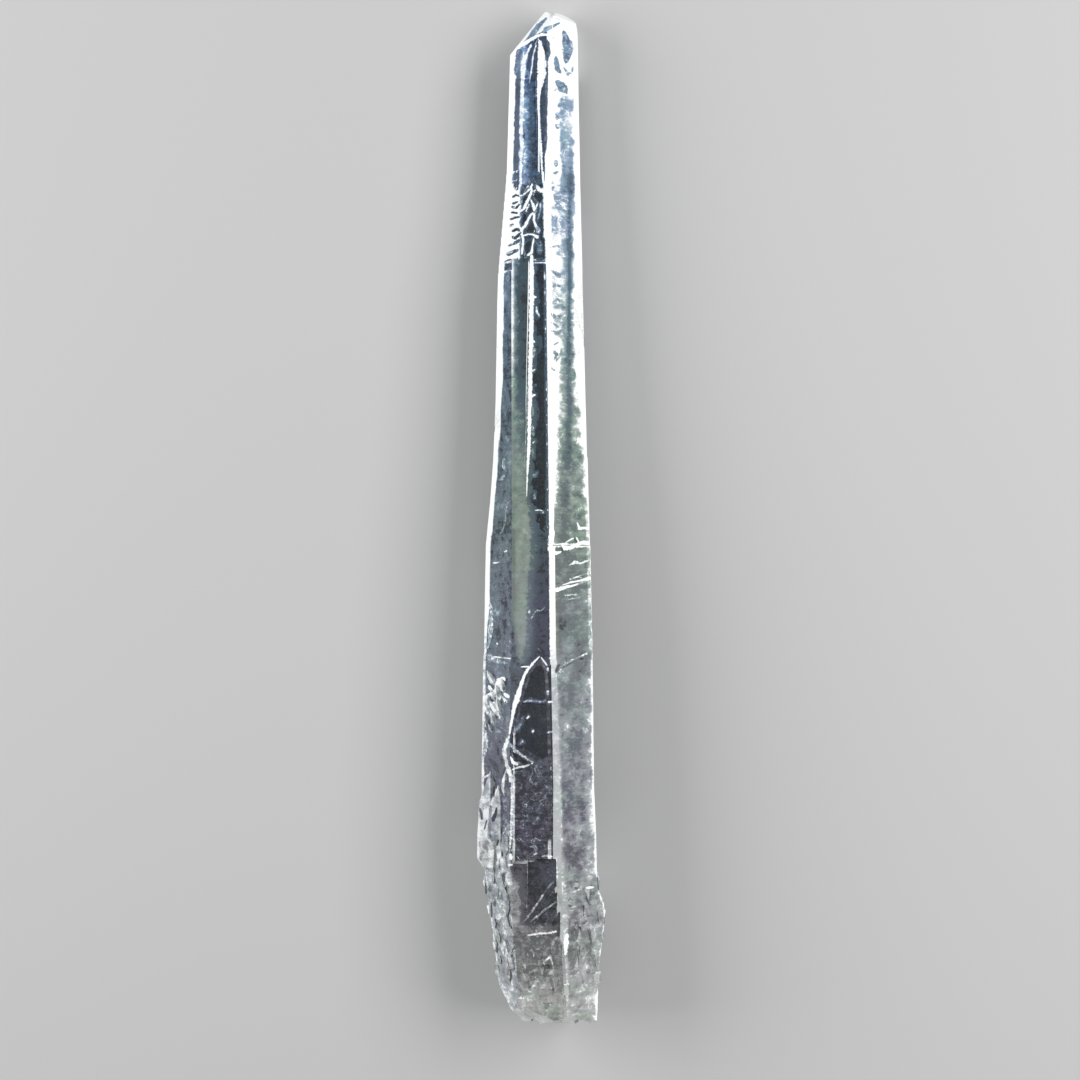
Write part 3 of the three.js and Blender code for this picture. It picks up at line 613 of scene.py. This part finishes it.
def topFrost(spot):
    s, across, blotch, small = basics(spot)
    # the white strip along the edge facet: frost and a painted highlight
    if s > zones["arch"] and across > follow(topLook["whiteFrom"], s):
        return finish(0.97, grain=0.2, edges=0, light=0.8)
    if s > zones["ink"]:
        grey = smooth(*topLook["greyTip"], across + 0.6 * small) * (0.42 + 0.26 * blotch + 0.3 * small)
        edges = 0.5 if s > 142 and across < -1.8 else -0.3
        return finish(0.05 + grey + 0.07 * small, grain=0.34, edges=edges, light=0.15, blue=0.6)
    if s > zones["growthMarks"]:
        ladder = smooth(*topLook["ladder"], across)
        frost = 0.06 + 0.86 * ladder + 0.12 * smooth(0.1, 0.6, small)
        return finish(frost, grain=0.2, light=0.15, blue=0.1, clear=ladder == 0)
    if s > zones["arch"]:
        beside = across - follow(topLook["ridge"], s)
        return stripeFrost(spot, beside) if beside < 0 else bandFrost(spot, beside)
    return archFrost(spot) if s > zones["milky"] + 0.7 * small else milkyFrost(spot)


def stripeFrost(spot, beside):
    # the sage stripe to the left of the long ridge
    s, across, blotch, small = basics(spot)
    fromEdge = across - follow(topLook["leftEdge"], s)
    if fromEdge < 0 and s < topLook["leftEdge"][-1][0]:
        return finish(0.12 + 0.16 * blotch + 0.12 * small, grain=0.3, light=0.35, blue=0.7)
    upper = 0.82 - 0.44 * smooth(0, 0.45, fromEdge) - 0.34 * smooth(0.3, 1.6, fromEdge)
    upper += 0.05 * blotch + 0.04 * small
    lower = follow(topLook["sage"], s) + 0.09 * small + 0.07 * blotch
    lower -= 0.08 * smooth(0.5, 0, -beside) + 0.26 * smooth(0.7, 0, fromEdge) * smooth(78, 70, s)
    sage = smooth(*topLook["sageFrom"], s + 1.2 * fromEdge)
    frost = upper + (lower - upper) * sage
    return finish(frost, grain=0.18, edges=0, light=0.8 * sage, blue=-0.1 - 0.05 * sage)


def bandFrost(spot, beside):
    # the dark band to the right of the long ridge, clear in its upper part
    s, blotch, small = spot["s"], spot["blotch"], spot["small"]
    if s > topLook["clearFrom"] - 1.8 * small - blotch and beside > 1.1 + 0.9 * blotch + 0.6 * small:
        frost = 0.1 + 0.05 * blotch + 0.05 * small
        return finish(frost, grain=0.3, edges=0, light=0.15, blue=1, clear=True)
    soft = smooth(1.7, 0.1, beside)
    frost = 0.03 + 0.05 * blotch + 0.05 * small + 0.14 * soft + 0.04 * smooth(76, 70, s)
    return finish(frost, grain=0.24, edges=0, light=0.5 * soft, blue=0.5 * smooth(80, 74, s))


def archFrost(spot):
    # the arch plate, clear at its point and etched in its lower part
    s, across, blotch, small = basics(spot)
    etched = smooth(*topLook["etched"], s + 1.5 * blotch)
    outside = smooth(0.1, -0.2, across - follow(topLook["archFrom"], s)) * smooth(46, 47, s)
    if etched + outside < 0.5:
        return finish(0.1 + 0.06 * blotch + 0.07 * small, grain=0.3, light=0.15, blue=1, clear=True)
    frost = 0.05 + 0.05 * blotch + 0.07 * small
    frost += (0.12 + 0.1 * blotch - frost) * outside
    return finish(frost, grain=0.26 + 0.34 * etched, light=0.25, blue=0.4 - 0.1 * etched)


def milkyFrost(spot):
    # the milky blunt end, with a dark window in it
    s, across, blotch, small = basics(spot)
    left, right, low, high = topLook["window"]
    window = smooth(low, low + 0.6, s) * smooth(high + 0.4, high - 0.2, s + 0.4 * small)
    deep = window * smooth(left - 0.9, left + 0.7, across + 0.8 * small) * smooth(right + 0.5, right, across)
    brown = window * smooth(*topLook["brown"], across + 0.3 * small)
    shadeFrom = -4.2 - 1.3 * smooth(20, 22.4, s)
    shade = window * smooth(shadeFrom - 0.4, shadeFrom + 0.4, across + 0.5 * small + 0.4 * blotch)
    milky = follow(topLook["milky"], s) + 0.14 * smooth(-4.4, -6.2, across) + 0.06 * smooth(2.5, 5, across)
    frost = milky + (0.45 - milky) * brown
    frost += (0.12 - frost) * shade
    frost += (0.02 - frost) * deep
    frost += (0.1 + 0.08 * brown) * blotch + 0.09 * small
    return finish(frost, grain=0.26, light=0.3 * (1 - deep), blue=0.3 * deep)


rightLook = {  # as above, with frost for bandFrost, coreDepth and lower
    "halves": (74, 77.5),  # where its two halves meet
    "bandEnd": (137.8, 135.8),
    "bandFrom": [(77, 0.7), (86.3, 1.1), (92.2, 1.55), (96.7, 1.75), (101, 1.9), (107, 1.8), (113, 2.2),
                 (120, 1.7), (125.6, 1.85), (129.3, 1.8), (136.7, 1.45)],
    "bandTo": [(77, 5.9), (80.4, 5.6), (86.3, 5.3), (92.2, 4.6), (96.7, 4.1), (101, 3.8), (122, 3.8),
               (129, 3.85), (136.7, 3.65)],
    "bandFrost": [(77, 0.4), (86.3, 0.49), (92.2, 0.5), (96.7, 0.53), (101, 0.66), (107, 0.62),
                  (113, 0.62), (122, 0.54), (129, 0.47), (136.7, 0.66)],
    "core": [(74, 2.6), (80.4, 2.83), (86.3, 3.1), (92.2, 3.2), (99.6, 3.0), (107, 3.2), (125, 3.2)],
    "coreWidth": [(77, 0.6), (86, 0.55), (92, 0.55), (99, 0.5), (103, 0.38), (122, 0.36)],
    "coreDepth": [(74, 0.14), (80, 0.24), (86, 0.34), (96.7, 0.38), (101, 0.48), (113, 0.42), (122, 0.32),
                  (127, 0.1), (132, 0)],
    "lower": [(3, 0.48), (8, 0.32), (14, 0.34), (21, 0.43), (30, 0.38), (39, 0.42), (43, 0.5), (46, 0.46),
              (49, 0.34), (57, 0.26), (68, 0.24), (72, 0.32), (74, 0.37)],
    "paleTo": [(13, 3.0), (17.8, 2.85), (23.8, 2.35), (32.7, 2.1), (47.5, 1.64), (54.4, 1.19), (56, 0.6)],
}


def rightFrostAndHighlight(spot):
    s, across, fromRight = spot["s"], spot["across"], spot["fromRight"]
    tipShare = smooth(*rightLook["halves"], s + 1.2 * spot["small"])
    edges = 0.2 if s > 70 else 0.12 if s > zones["overgrown"] and fromRight < 0.6 else -0.3
    blue = -0.7 * smooth(1.9, 1.2, across) * smooth(53, 56, s) * smooth(66, 63, s) + 0.1 * smooth(53, 50, s)
    frost = rightNearTip(spot) * tipShare + rightNearBlunt(spot) * (1 - tipShare)
    return finish(frost, grain=0.28, edges=edges, blue=blue)


def rightNearTip(spot):
    # a mottled white face: frost with a painted reflection of the light on it, and a band of thinner frost
    # and a dark core in the band
    s, across, blotch, small = basics(spot)
    start, end = follow(rightLook["bandFrom"], s), follow(rightLook["bandTo"], s)
    ragged = across + 0.35 * small + 0.25 * blotch
    soft = 0.3 + 0.8 * smooth(98, 90, s)
    band = smooth(start - 0.25, start + soft, ragged) * smooth(end + 0.3, end - soft, ragged)
    band *= smooth(*rightLook["bandEnd"], s + 0.8 * small + 0.6 * blotch)
    gap = (across - follow(rightLook["core"], s) + 0.15 * blotch) / follow(rightLook["coreWidth"], s)
    mottled = smooth(99, 103, s) * smooth(127, 123, s) * smooth(4.2, 3.4, across)
    mottled = 0.97 - (0.19 - 0.26 * small - 0.2 * blotch) * mottled
    frost = mottled + (follow(rightLook["bandFrost"], s) + 0.18 * blotch + 0.2 * small - mottled) * band
    return frost - follow(rightLook["coreDepth"], s) * math.exp(-gap * gap) * (1 + 0.3 * small) * band


def rightNearBlunt(spot):
    # grey frost, paler beside the narrow facet, with a painted highlight along the right edge
    s, across, fromRight = spot["s"], spot["across"], spot["fromRight"]
    frost = follow(rightLook["lower"], s) + 0.22 * spot["blotch"] + 0.16 * spot["small"]
    beside = across + 0.1 * spot["small"] - follow(rightLook["paleTo"], s)
    frost += (0.62 - frost) * (smooth(0.2, -0.15, beside) * smooth(56, 53, s))
    # a painted highlight along the right outline
    edge = 0.5 if s > 55 else 0.28
    return frost + (0.3 * smooth(edge + 0.15, edge - 0.1, fromRight) + 0.13 * smooth(1.9, 0.5, fromRight))


def leftFrostAndHighlight(spot):
    s, blotch, small = spot["s"], spot["blotch"], spot["small"]
    # a painted highlight: the white band along the left outline
    width = 0.75 + 0.22 * smooth(78, 92, s) - 0.4 * smooth(63, 57, s)
    width *= 1 + 0.2 * spot["streak"]
    white = smooth(1.15 * width, 0.85 * width, spot["fromLeft"]) * (0.78 + 0.2 * smooth(55, 62, s))
    if s > zones["ink"]:
        return finish(max(white, 0.3 + 0.1 * small), grain=0.24, edges=0.1, light=0.12, blue=0.6)
    if s > zones["leftMarks"]:
        return finish(max(white, 0.9), grain=0.2, edges=0.1, light=0.12, blue=0.3)
    frost = 0.13 + 0.04 * smooth(60, 54, s) + 0.2 * blotch + 0.16 * small + 0.38 * smooth(37, 24, s)
    edges = 0.04 if s < 51 else -0.3 if s < 58 else 0.1
    return finish(max(white, frost), grain=0.3, edges=edges, light=0.35, blue=1 - 0.5 * smooth(60, 30, s))


facetFrost = [(3, 0.44), (9, 0.32), (14, 0.32), (18, 0.42), (24, 0.56), (33, 0.63), (50, 0.66),
              (60, 0.8), (75, 1)]


def reliefFrost(spot):
    s, across, blotch, small = basics(spot)
    rightOfWhite = across > follow(topLook["whiteFrom"], s)
    # relief painted white at the tip and along the edge facet: frost and a painted highlight
    if s > zones["whiteTip"] or s > zones["leftMarks"] and rightOfWhite:
        return finish(0.95, grain=0.2, edges=0.04, light=0.6)
    if s > zones["leftMarks"]:
        return finish(0.9 if across < -4.0 else 0.2 + 0.2 * small, grain=0.2, light=0.3, blue=0.2)
    # the white strip along the edge facet: frost and a painted highlight
    if s > zones["arch"] and rightOfWhite and across < 0.6:
        return finish(0.97, grain=0.2, edges=0, light=0.8)
    if s > zones["aboveArch"] or across > 1.5 and s > zones["overgrown"]:
        return finish(0.9 if s > 90 else 0.6, grain=0.24, edges=0.04, light=0.6)
    if s < 21 and abs(across) < 4.9:
        return finish(0.32 + 0.1 * small, grain=0.24, light=0.3, blue=0.1)
    if s < zones["overgrown"]:
        frost = 0.52 + 0.14 * smooth(19, 23, s) + 0.2 * small + 0.14 * blotch
        return finish(frost, grain=0.26, blue=0.1)
    if across > 0.5:
        return finish(follow(facetFrost, s) + 0.07 * small, grain=0.12, light=0.8)
    if across > -4.9:
        return finish(0.04 + 0.03 * small, grain=0.12, light=0, blue=0.3)
    return finish(0.72 + 0.2 * small + 0.16 * blotch, grain=0.26, edges=0.03, light=0.6, blue=0.5)


def frostAt(name, spot):
    s, across, blotch, small = basics(spot)
    # the tip's faces, painted near white: frost, with painted light where the lamps reach them less
    if name == "tip":
        return finish(0.9 + 0.1 * smooth(-1, 0, across) + 0.1 * blotch, grain=0.25, light=0.6, blue=0.1)
    if name == "bluntEnd":
        return finish(0.78 + 0.1 * blotch, grain=0.15, edges=0.05, light=0.8)
    if name == "relief":
        return reliefFrost(spot)
    if name == "edgeFacet" and (s <= zones["arch"] or across >= follow(topLook["whiteFrom"], s)):
        frost = follow(facetFrost, s) + 0.07 * small + 0.05 * blotch
        return finish(frost, grain=0.12, edges=0.02 if s > 60 else -0.3, light=0.8)
    if name in ("top", "edgeFacet"):
        return topFrost(spot)
    if name in ("lowerLeft", "lowerRight") and 30 + 3 * blotch < s < zones["whiteTip"]:
        frost = 0.12 + 0.08 * blotch + 0.08 * small
        return finish(frost, grain=0.3, edges=0.05, light=0.8, blue=0.2, clear=True)
    if name in ("right", "lowerRight"):
        return rightFrostAndHighlight(spot)
    if name in ("left", "lowerLeft"):
        return leftFrostAndHighlight(spot)
    return finish(0.1 + 0.1 * blotch, grain=0.1, edges=0, light=0.7, clear=True)


toneKeys = ("frost", "grain", "rim", "light", "blue", "side", "width", "tone")


def paintFrost(crystal, look, edgeTree):
    mesh = crystal.data
    seen = [seenAt(vertex.co) for vertex in mesh.vertices]
    low, high = outlineOf(seen)
    spots = []
    for vertex, (across, s) in zip(mesh.vertices, seen):
        spots.append({
            "s": s,
            "across": across,
            "fromLeft": across - between(low, s),
            "fromRight": between(high, s) - across,
            "edge": edgeTree.find(vertex.co)[2] / mm,
        })
        for key, layers in frostPatches.items():
            spots[-1][key] = sum(most * patches(vertex.co, *rest) for most, *rest in layers)
    rows = markPieces(look)
    done = {}
    values = {key: [] for key in toneKeys}
    for face in mesh.polygons:
        name = nameOf(face, look)
        facesCamera = face.normal.dot(towardsCamera) > 0.05
        nearest = nearestMark(face.center, rows, look["markReach"]) if facesCamera else None
        opaque = False
        for v in face.vertices:
            spot = spots[v]
            if (v, name) not in done:
                frost, grain, edges, light, blue, clear = frostAt(name, spot)
                frost = min(1, max(0, frost + cloudAt(spot["across"], spot["s"])))
                done[v, name] = frost, grain, min(1, spot["edge"] - edges), light, blue, clear
            frost, grain, rim, light, blue, clear = done[v, name]
            side, width, tone = 1, 0, 0
            if nearest:
                side, width = besideMark(spot["across"], spot["s"], nearest)
                tone = nearest[-1]
            for key, value in zip(toneKeys, (frost, grain, rim, light, blue, side, width, tone)):
                values[key].append(value)
            drawn = abs(side) - width < look["drawnReach"]
            drawn = drawn and (tone > look["opaqueFrom"] or tone < look["ink"])
            opaque |= not clear or frost > look["opaqueFrom"] or rim < look["edgeReach"] or drawn
        face.material_index = 1 if opaque else 0
    for key in toneKeys:
        mesh.attributes.new(key, "FLOAT", "CORNER").data.foreach_set("value", values[key])


def nameOf(face, look):
    name, off = prismFaceOf(face.normal)
    s, across = alongCrystal(face.center.y), seenAcross(face.center)
    if abs(face.normal.y) > look["endFrom"]:
        if s > zones["tip"]:
            return "tip"
        if s < zones["broken"]:
            return "bluntEnd"
    if off > look["reliefFrom"] and not (name == "edgeFacet" and off < look["facetReliefFrom"]):
        return "relief"
    if name == "top" and s < 45 and across < -5.6:
        return "relief"
    if 22 < s < zones["aboveArch"] and (name == "edgeFacet" and off > 4 or name == "right" and across < -1):
        return "relief"
    return name


def nearestMark(place, rows, reach):
    across, s = seenAt(place)
    best, found = reach, None
    for piece in rows.get(math.floor(s), ()):
        side, width = besideMark(across, s, piece)
        if abs(side) - width < best:
            best, found = abs(side) - width, piece
    return found


# material helpers
def addNode(tree, kind, values=None, **settings):
    node = tree.nodes.new("ShaderNode" + kind)
    for key, value in settings.items():
        setattr(node, key, value)
    for key, value in (values or {}).items():
        feed(tree, value, node.inputs[key])
    return node


def feed(tree, value, socket):
    if isinstance(value, bpy.types.NodeSocket):
        tree.links.new(value, socket)
    else:
        socket.default_value = value


def calc(tree, operation, *values, clamp=False):
    return addNode(tree, "Math", dict(enumerate(values)), operation=operation, use_clamp=clamp).outputs[0]


def scaled(tree, value, low, high, toLow=0, toHigh=1):
    sockets = {"Value": value, "From Min": low, "From Max": high, "To Min": toLow, "To Max": toHigh}
    return addNode(tree, "MapRange", sockets).outputs[0]


def mixed(tree, factor, first, second):
    return addNode(tree, "Mix", {0: factor, 6: first, 7: second}, data_type="RGBA").outputs[2]


def noiseOn(tree, place, scale, detail, roughness=0.6, distortion=0):
    sockets = {"Vector": place, "Scale": scale, "Detail": detail, "Roughness": roughness}
    sockets["Distortion"] = distortion
    return addNode(tree, "TexNoise", sockets).outputs[0]


def stretched(tree, place, scale, turn=0):
    return addNode(tree, "Mapping", {"Vector": place, "Scale": scale, "Rotation": (0, 0, turn)}).outputs[0]


def shaded(tree, colour, amount):
    return addNode(tree, "VectorMath", {0: colour, "Scale": amount}, operation="SCALE").outputs[0]


def tinted(tree, colour, tint):
    return addNode(tree, "VectorMath", {0: colour, 1: tint}, operation="MULTIPLY").outputs[0]


def ramp(tree, place, stops):
    node = addNode(tree, "ValToRGB", {0: place})
    elements = node.color_ramp.elements
    while len(elements) < len(stops):
        elements.new(0.5)
    for element, (position, colour) in zip(elements, stops):
        element.position = position
        element.color = (*colour, 1)
    return node.outputs[0]


def newMaterial(name, values):
    material = bpy.data.materials.new(name)
    material.use_nodes = True
    shader = material.node_tree.nodes["Principled BSDF"]
    for key, value in values.items():
        shader.inputs[key].default_value = value
    return material, material.node_tree, shader


# how frost and marks turn into colour, roughness and relief
toneLook = {
    "squash": (1, 1, 0.3),  # patterns are drawn out down the side faces
    "grain": (1100, 5, 0.72),  # scale, detail, roughness, distortion
    "lines": (260, 2400, 260),  # how fine they are each way
    "linesTurn": math.radians(8),
    "curls": (850, 3, 0.62, 2.2),
    "hue": (330, 2),
    "smoke": (1, 5, 0.6, 0.8),
    "smokeSize": (640, 220, 640),
    "length": 75 * mm,  # the colours run over this to both sides of the middle
    "dark": [  # colours from the blunt end to the tip
        (0.0, (0.16, 0.17, 0.145)), (0.1, (0.06, 0.06, 0.065)), (0.2, (0.055, 0.052, 0.07)),
        (0.42, (0.065, 0.068, 0.085)), (0.5, (0.05, 0.08, 0.082)), (0.7, (0.04, 0.072, 0.084)),
        (0.82, (0.042, 0.07, 0.10)), (1.0, (0.042, 0.073, 0.125)),
    ],
    "light": [
        (0.0, (0.25, 0.26, 0.22)), (0.2, (0.12, 0.12, 0.145)), (0.36, (0.20, 0.24, 0.215)),
        (0.5, (0.13, 0.165, 0.14)), (0.7, (0.07, 0.135, 0.185)), (1.0, (0.12, 0.19, 0.25)),
    ],
    "half": [  # half frosted
        (0.0, (0.43, 0.45, 0.39)), (0.2, (0.355, 0.385, 0.36)), (0.3, (0.305, 0.33, 0.32)),
        (0.38, (0.27, 0.33, 0.305)), (0.47, (0.26, 0.33, 0.26)), (0.62, (0.27, 0.345, 0.285)),
        (0.8, (0.26, 0.36, 0.44)), (1.0, (0.25, 0.37, 0.47)),
    ],
    "white": (0.93, 0.95, 0.95, 1),
    "warm": (1.12, 1.0, 0.86, 1),  # tints that the colours are multiplied by
    "cold": (0.84, 0.93, 1.24, 1),
    "violet": (1.03, 0.985, 1.02, 1),
    "green": (0.965, 1.025, 0.97, 1),
}


def quartzTone(look):
    group = bpy.data.node_groups.new("quartzTone", "ShaderNodeTree")
    for key in toneKeys:
        group.interface.new_socket(key.capitalize(), in_out="INPUT", socket_type="NodeSocketFloat")
    for key, kind in (("Depth", "Color"), ("Color", "Color"), ("Amount", "Float")):
        group.interface.new_socket(key, in_out="OUTPUT", socket_type="NodeSocket" + kind)
    given = group.nodes.new("NodeGroupInput").outputs
    result = group.nodes.new("NodeGroupOutput").inputs
    place = stretched(group, addNode(group, "TexCoord").outputs["Object"], look["squash"])
    apart = addNode(group, "SeparateXYZ", {0: place})
    along = scaled(group, apart.outputs["Y"], -look["length"], look["length"])
    # how white each point is, from frost and painted highlights: fine grain, lines across the faces, specks,
    # then marks and rims
    wobble = calc(group, "SUBTRACT", noiseOn(group, place, *look["grain"]), 0.5)
    grain = calc(group, "MULTIPLY", wobble, given["Grain"])
    acrossFaces = stretched(group, place, look["lines"], look["linesTurn"])
    lines = calc(group, "SUBTRACT", noiseOn(group, acrossFaces, 1, 3), 0.5)
    curly = noiseOn(group, place, *look["curls"])
    specks = calc(group, "MULTIPLY", scaled(group, curly, 0.54, 0.66), given["Grain"])
    field = calc(group, "MULTIPLY_ADD", grain, 3.0, given["Frost"])
    field = calc(group, "MULTIPLY_ADD", lines, given["Grain"], field)
    field = calc(group, "MULTIPLY_ADD", specks, 0.7, field)
    swell = calc(group, "MULTIPLY_ADD", calc(group, "SUBTRACT", curly, 0.5), 1.8, 1.0)
    ragged = calc(group, "MULTIPLY", given["Width"], swell)
    fromMark = calc(group, "SUBTRACT", calc(group, "ABSOLUTE", given["Side"]), ragged)
    drawn = scaled(group, fromMark, 0.055, -0.045)
    mottle = calc(group, "MULTIPLY", given["Tone"], calc(group, "SUBTRACT", 1.0, given["Tone"]))
    uneven = calc(group, "MULTIPLY_ADD", wobble, 5.0, scaled(group, curly, 0.5, 0.64, -0.3, 1.0))
    markTone = calc(group, "MULTIPLY_ADD", mottle, uneven, given["Tone"])
    field = calc(group, "MULTIPLY_ADD", calc(group, "SUBTRACT", markTone, field), drawn, field)
    # white along sharp edges: rubbed frost and a painted highlight
    rim = scaled(group, calc(group, "MULTIPLY_ADD", grain, 3.5, given["Rim"]), 0.08, -0.06)
    amount = calc(group, "MAXIMUM", field, rim, clamp=True)
    # colour from the depth of the quartz up to white
    depth = mixed(group, given["Light"], ramp(group, along, look["dark"]), ramp(group, along, look["light"]))
    hue = scaled(group, noiseOn(group, place, *look["hue"]), 0.38, 0.62)
    cast = mixed(group, scaled(group, given["Blue"], -1, 1), look["warm"], look["cold"])
    cast = tinted(group, cast, mixed(group, hue, look["violet"], look["green"]))
    half = mixed(group, scaled(group, amount, 0.24, 0.62), depth, ramp(group, along, look["half"]))
    half = shaded(group, tinted(group, half, cast), scaled(group, amount, 0, 0.13, 0.3, 1))
    colour = mixed(group, scaled(group, amount, 0.62, 0.86), half, look["white"])
    smoke = noiseOn(group, stretched(group, place, look["smokeSize"]), *look["smoke"])
    smoke = calc(group, "MULTIPLY_ADD", specks, 16.0, scaled(group, smoke, 0.36, 0.64, 3.5, 12.5))
    smoke = calc(group, "MULTIPLY", smoke, scaled(group, field, 0.04, 0.3, 0.8, 2.6))
    feed(group, shaded(group, tinted(group, tinted(group, depth, cast), cast), smoke), result["Depth"])
    feed(group, colour, result["Color"])
    feed(group, amount, result["Amount"])
    return group


def addTone(tree, group):
    tone = tree.nodes.new("ShaderNodeGroup")
    tone.node_tree = group
    for key in toneKeys:
        painted = addNode(tree, "Attribute", attribute_name=key)
        feed(tree, painted.outputs["Fac"], tone.inputs[key.capitalize()])
    return tone.outputs


quartzLook = {
    "clear": {"IOR": 1.544, "Transmission Weight": 1, "Coat Weight": 1, "Coat Roughness": 0.2,
              "Coat IOR": 1.65},
    "frosted": {"IOR": 1.544},
    "absorb": {"Color": (0.45, 0.62, 0.82, 1), "Density": 24},  # inside the clear quartz
    "bump": {"Strength": 0.5, "Distance": 0.1 * mm},
}


def addSurface(tree, shader, colour, roughness, amount, look):
    feed(tree, colour, shader.inputs["Base Color"])
    feed(tree, roughness, shader.inputs["Roughness"])
    bump = addNode(tree, "Bump", {"Height": amount, **look["bump"]})
    feed(tree, bump.outputs[0], shader.inputs["Normal"])


def clearQuartz(look, group):
    material, tree, shader = newMaterial("clearQuartz", look["clear"])
    volume = addNode(tree, "VolumeAbsorption", look["absorb"])
    feed(tree, volume.outputs[0], tree.nodes["Material Output"].inputs["Volume"])
    tone = addTone(tree, group)
    rough = scaled(tree, tone["Amount"], 0.1, 0.5, 0.04, 0.5)
    addSurface(tree, shader, tone["Depth"], rough, tone["Amount"], look)
    return material


def frostedQuartz(look, group):
    material, tree, shader = newMaterial("frostedQuartz", look["frosted"])
    tone = addTone(tree, group)
    dull = scaled(tree, tone["Amount"], 0, 0.16, 0.85, 0.25)
    rough = calc(tree, "MAXIMUM", dull, scaled(tree, tone["Amount"], 0.3, 0.9, 0.25, 0.6))
    addSurface(tree, shader, tone["Color"], rough, tone["Amount"], look)
    return material


crystal, edgeTree = makeCrystal(crystalForm)
print("crystal cut fine", len(crystal.data.polygons), "faces")
pushIn(crystal, reliefLook)
print("waves and pits pushed in")
paintFrost(crystal, frostLook, edgeTree)
print("frosting painted")
tone = quartzTone(toneLook)
crystal.data.materials.append(clearQuartz(quartzLook, tone))
crystal.data.materials.append(frostedQuartz(quartzLook, tone))
print("clear and frosted finishes made")
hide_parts(crystalForm["node"])
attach(crystal, "root")

# a pale floor and two soft lights
stageLook = {
    "floor": {"Base Color": (0.5, 0.5, 0.495, 1), "Roughness": 0.7},
    "world": (0.3, 0.305, 0.31, 1),
    "lightPlace": (0.5, 0.1),  # how far off and how far along the crystal
    "lights": {  # degrees from straight up, width, length and power
        "softLeft": (-62, 0.25, 0.5, 2.3),
        "softRight": (52, 0.2, 0.5, 2.5),
    },
}
bpy.ops.mesh.primitive_plane_add(size=3, location=(0, 0, -0.05 * mm))
floor = bpy.context.active_object
floor.name = "floor"
floorMat, tree, shader = newMaterial("paleFloor", stageLook["floor"])
floor.data.materials.append(floorMat)

world = bpy.data.worlds.new("studio")
bpy.context.scene.world = world
world.use_nodes = True
world.node_tree.nodes["Background"].inputs["Color"].default_value = stageLook["world"]


def softLight(name, turn, width, length, power):
    distance, along = stageLook["lightPlace"]
    data = bpy.data.lights.new(name, "AREA")
    data.shape = "RECTANGLE"
    data.size = width
    data.size_y = length
    data.energy = power
    light = bpy.data.objects.new(name, data)
    bpy.context.scene.collection.objects.link(light)
    light.location = facing(turn) * distance + Vector((0, along, 0))
    light.rotation_euler = (0, math.radians(turn), 0)


for name, values in stageLook["lights"].items():
    softLight(name, *values)
print("floor and lights set")

camData = bpy.data.cameras.new("camera")
camera = bpy.data.objects.new("camera", camData)
bpy.context.scene.collection.objects.link(camera)
bpy.context.scene.camera = camera
camData.lens = viewLook["lens"]
camData.sensor_width = viewLook["sensor"]
camera.rotation_euler = (0, viewTilt, 0)
camera.location = viewLook["target"] + towardsCamera * viewDistance
camData.clip_start = 0.01
bpy.context.scene.view_settings.view_transform = "Standard"
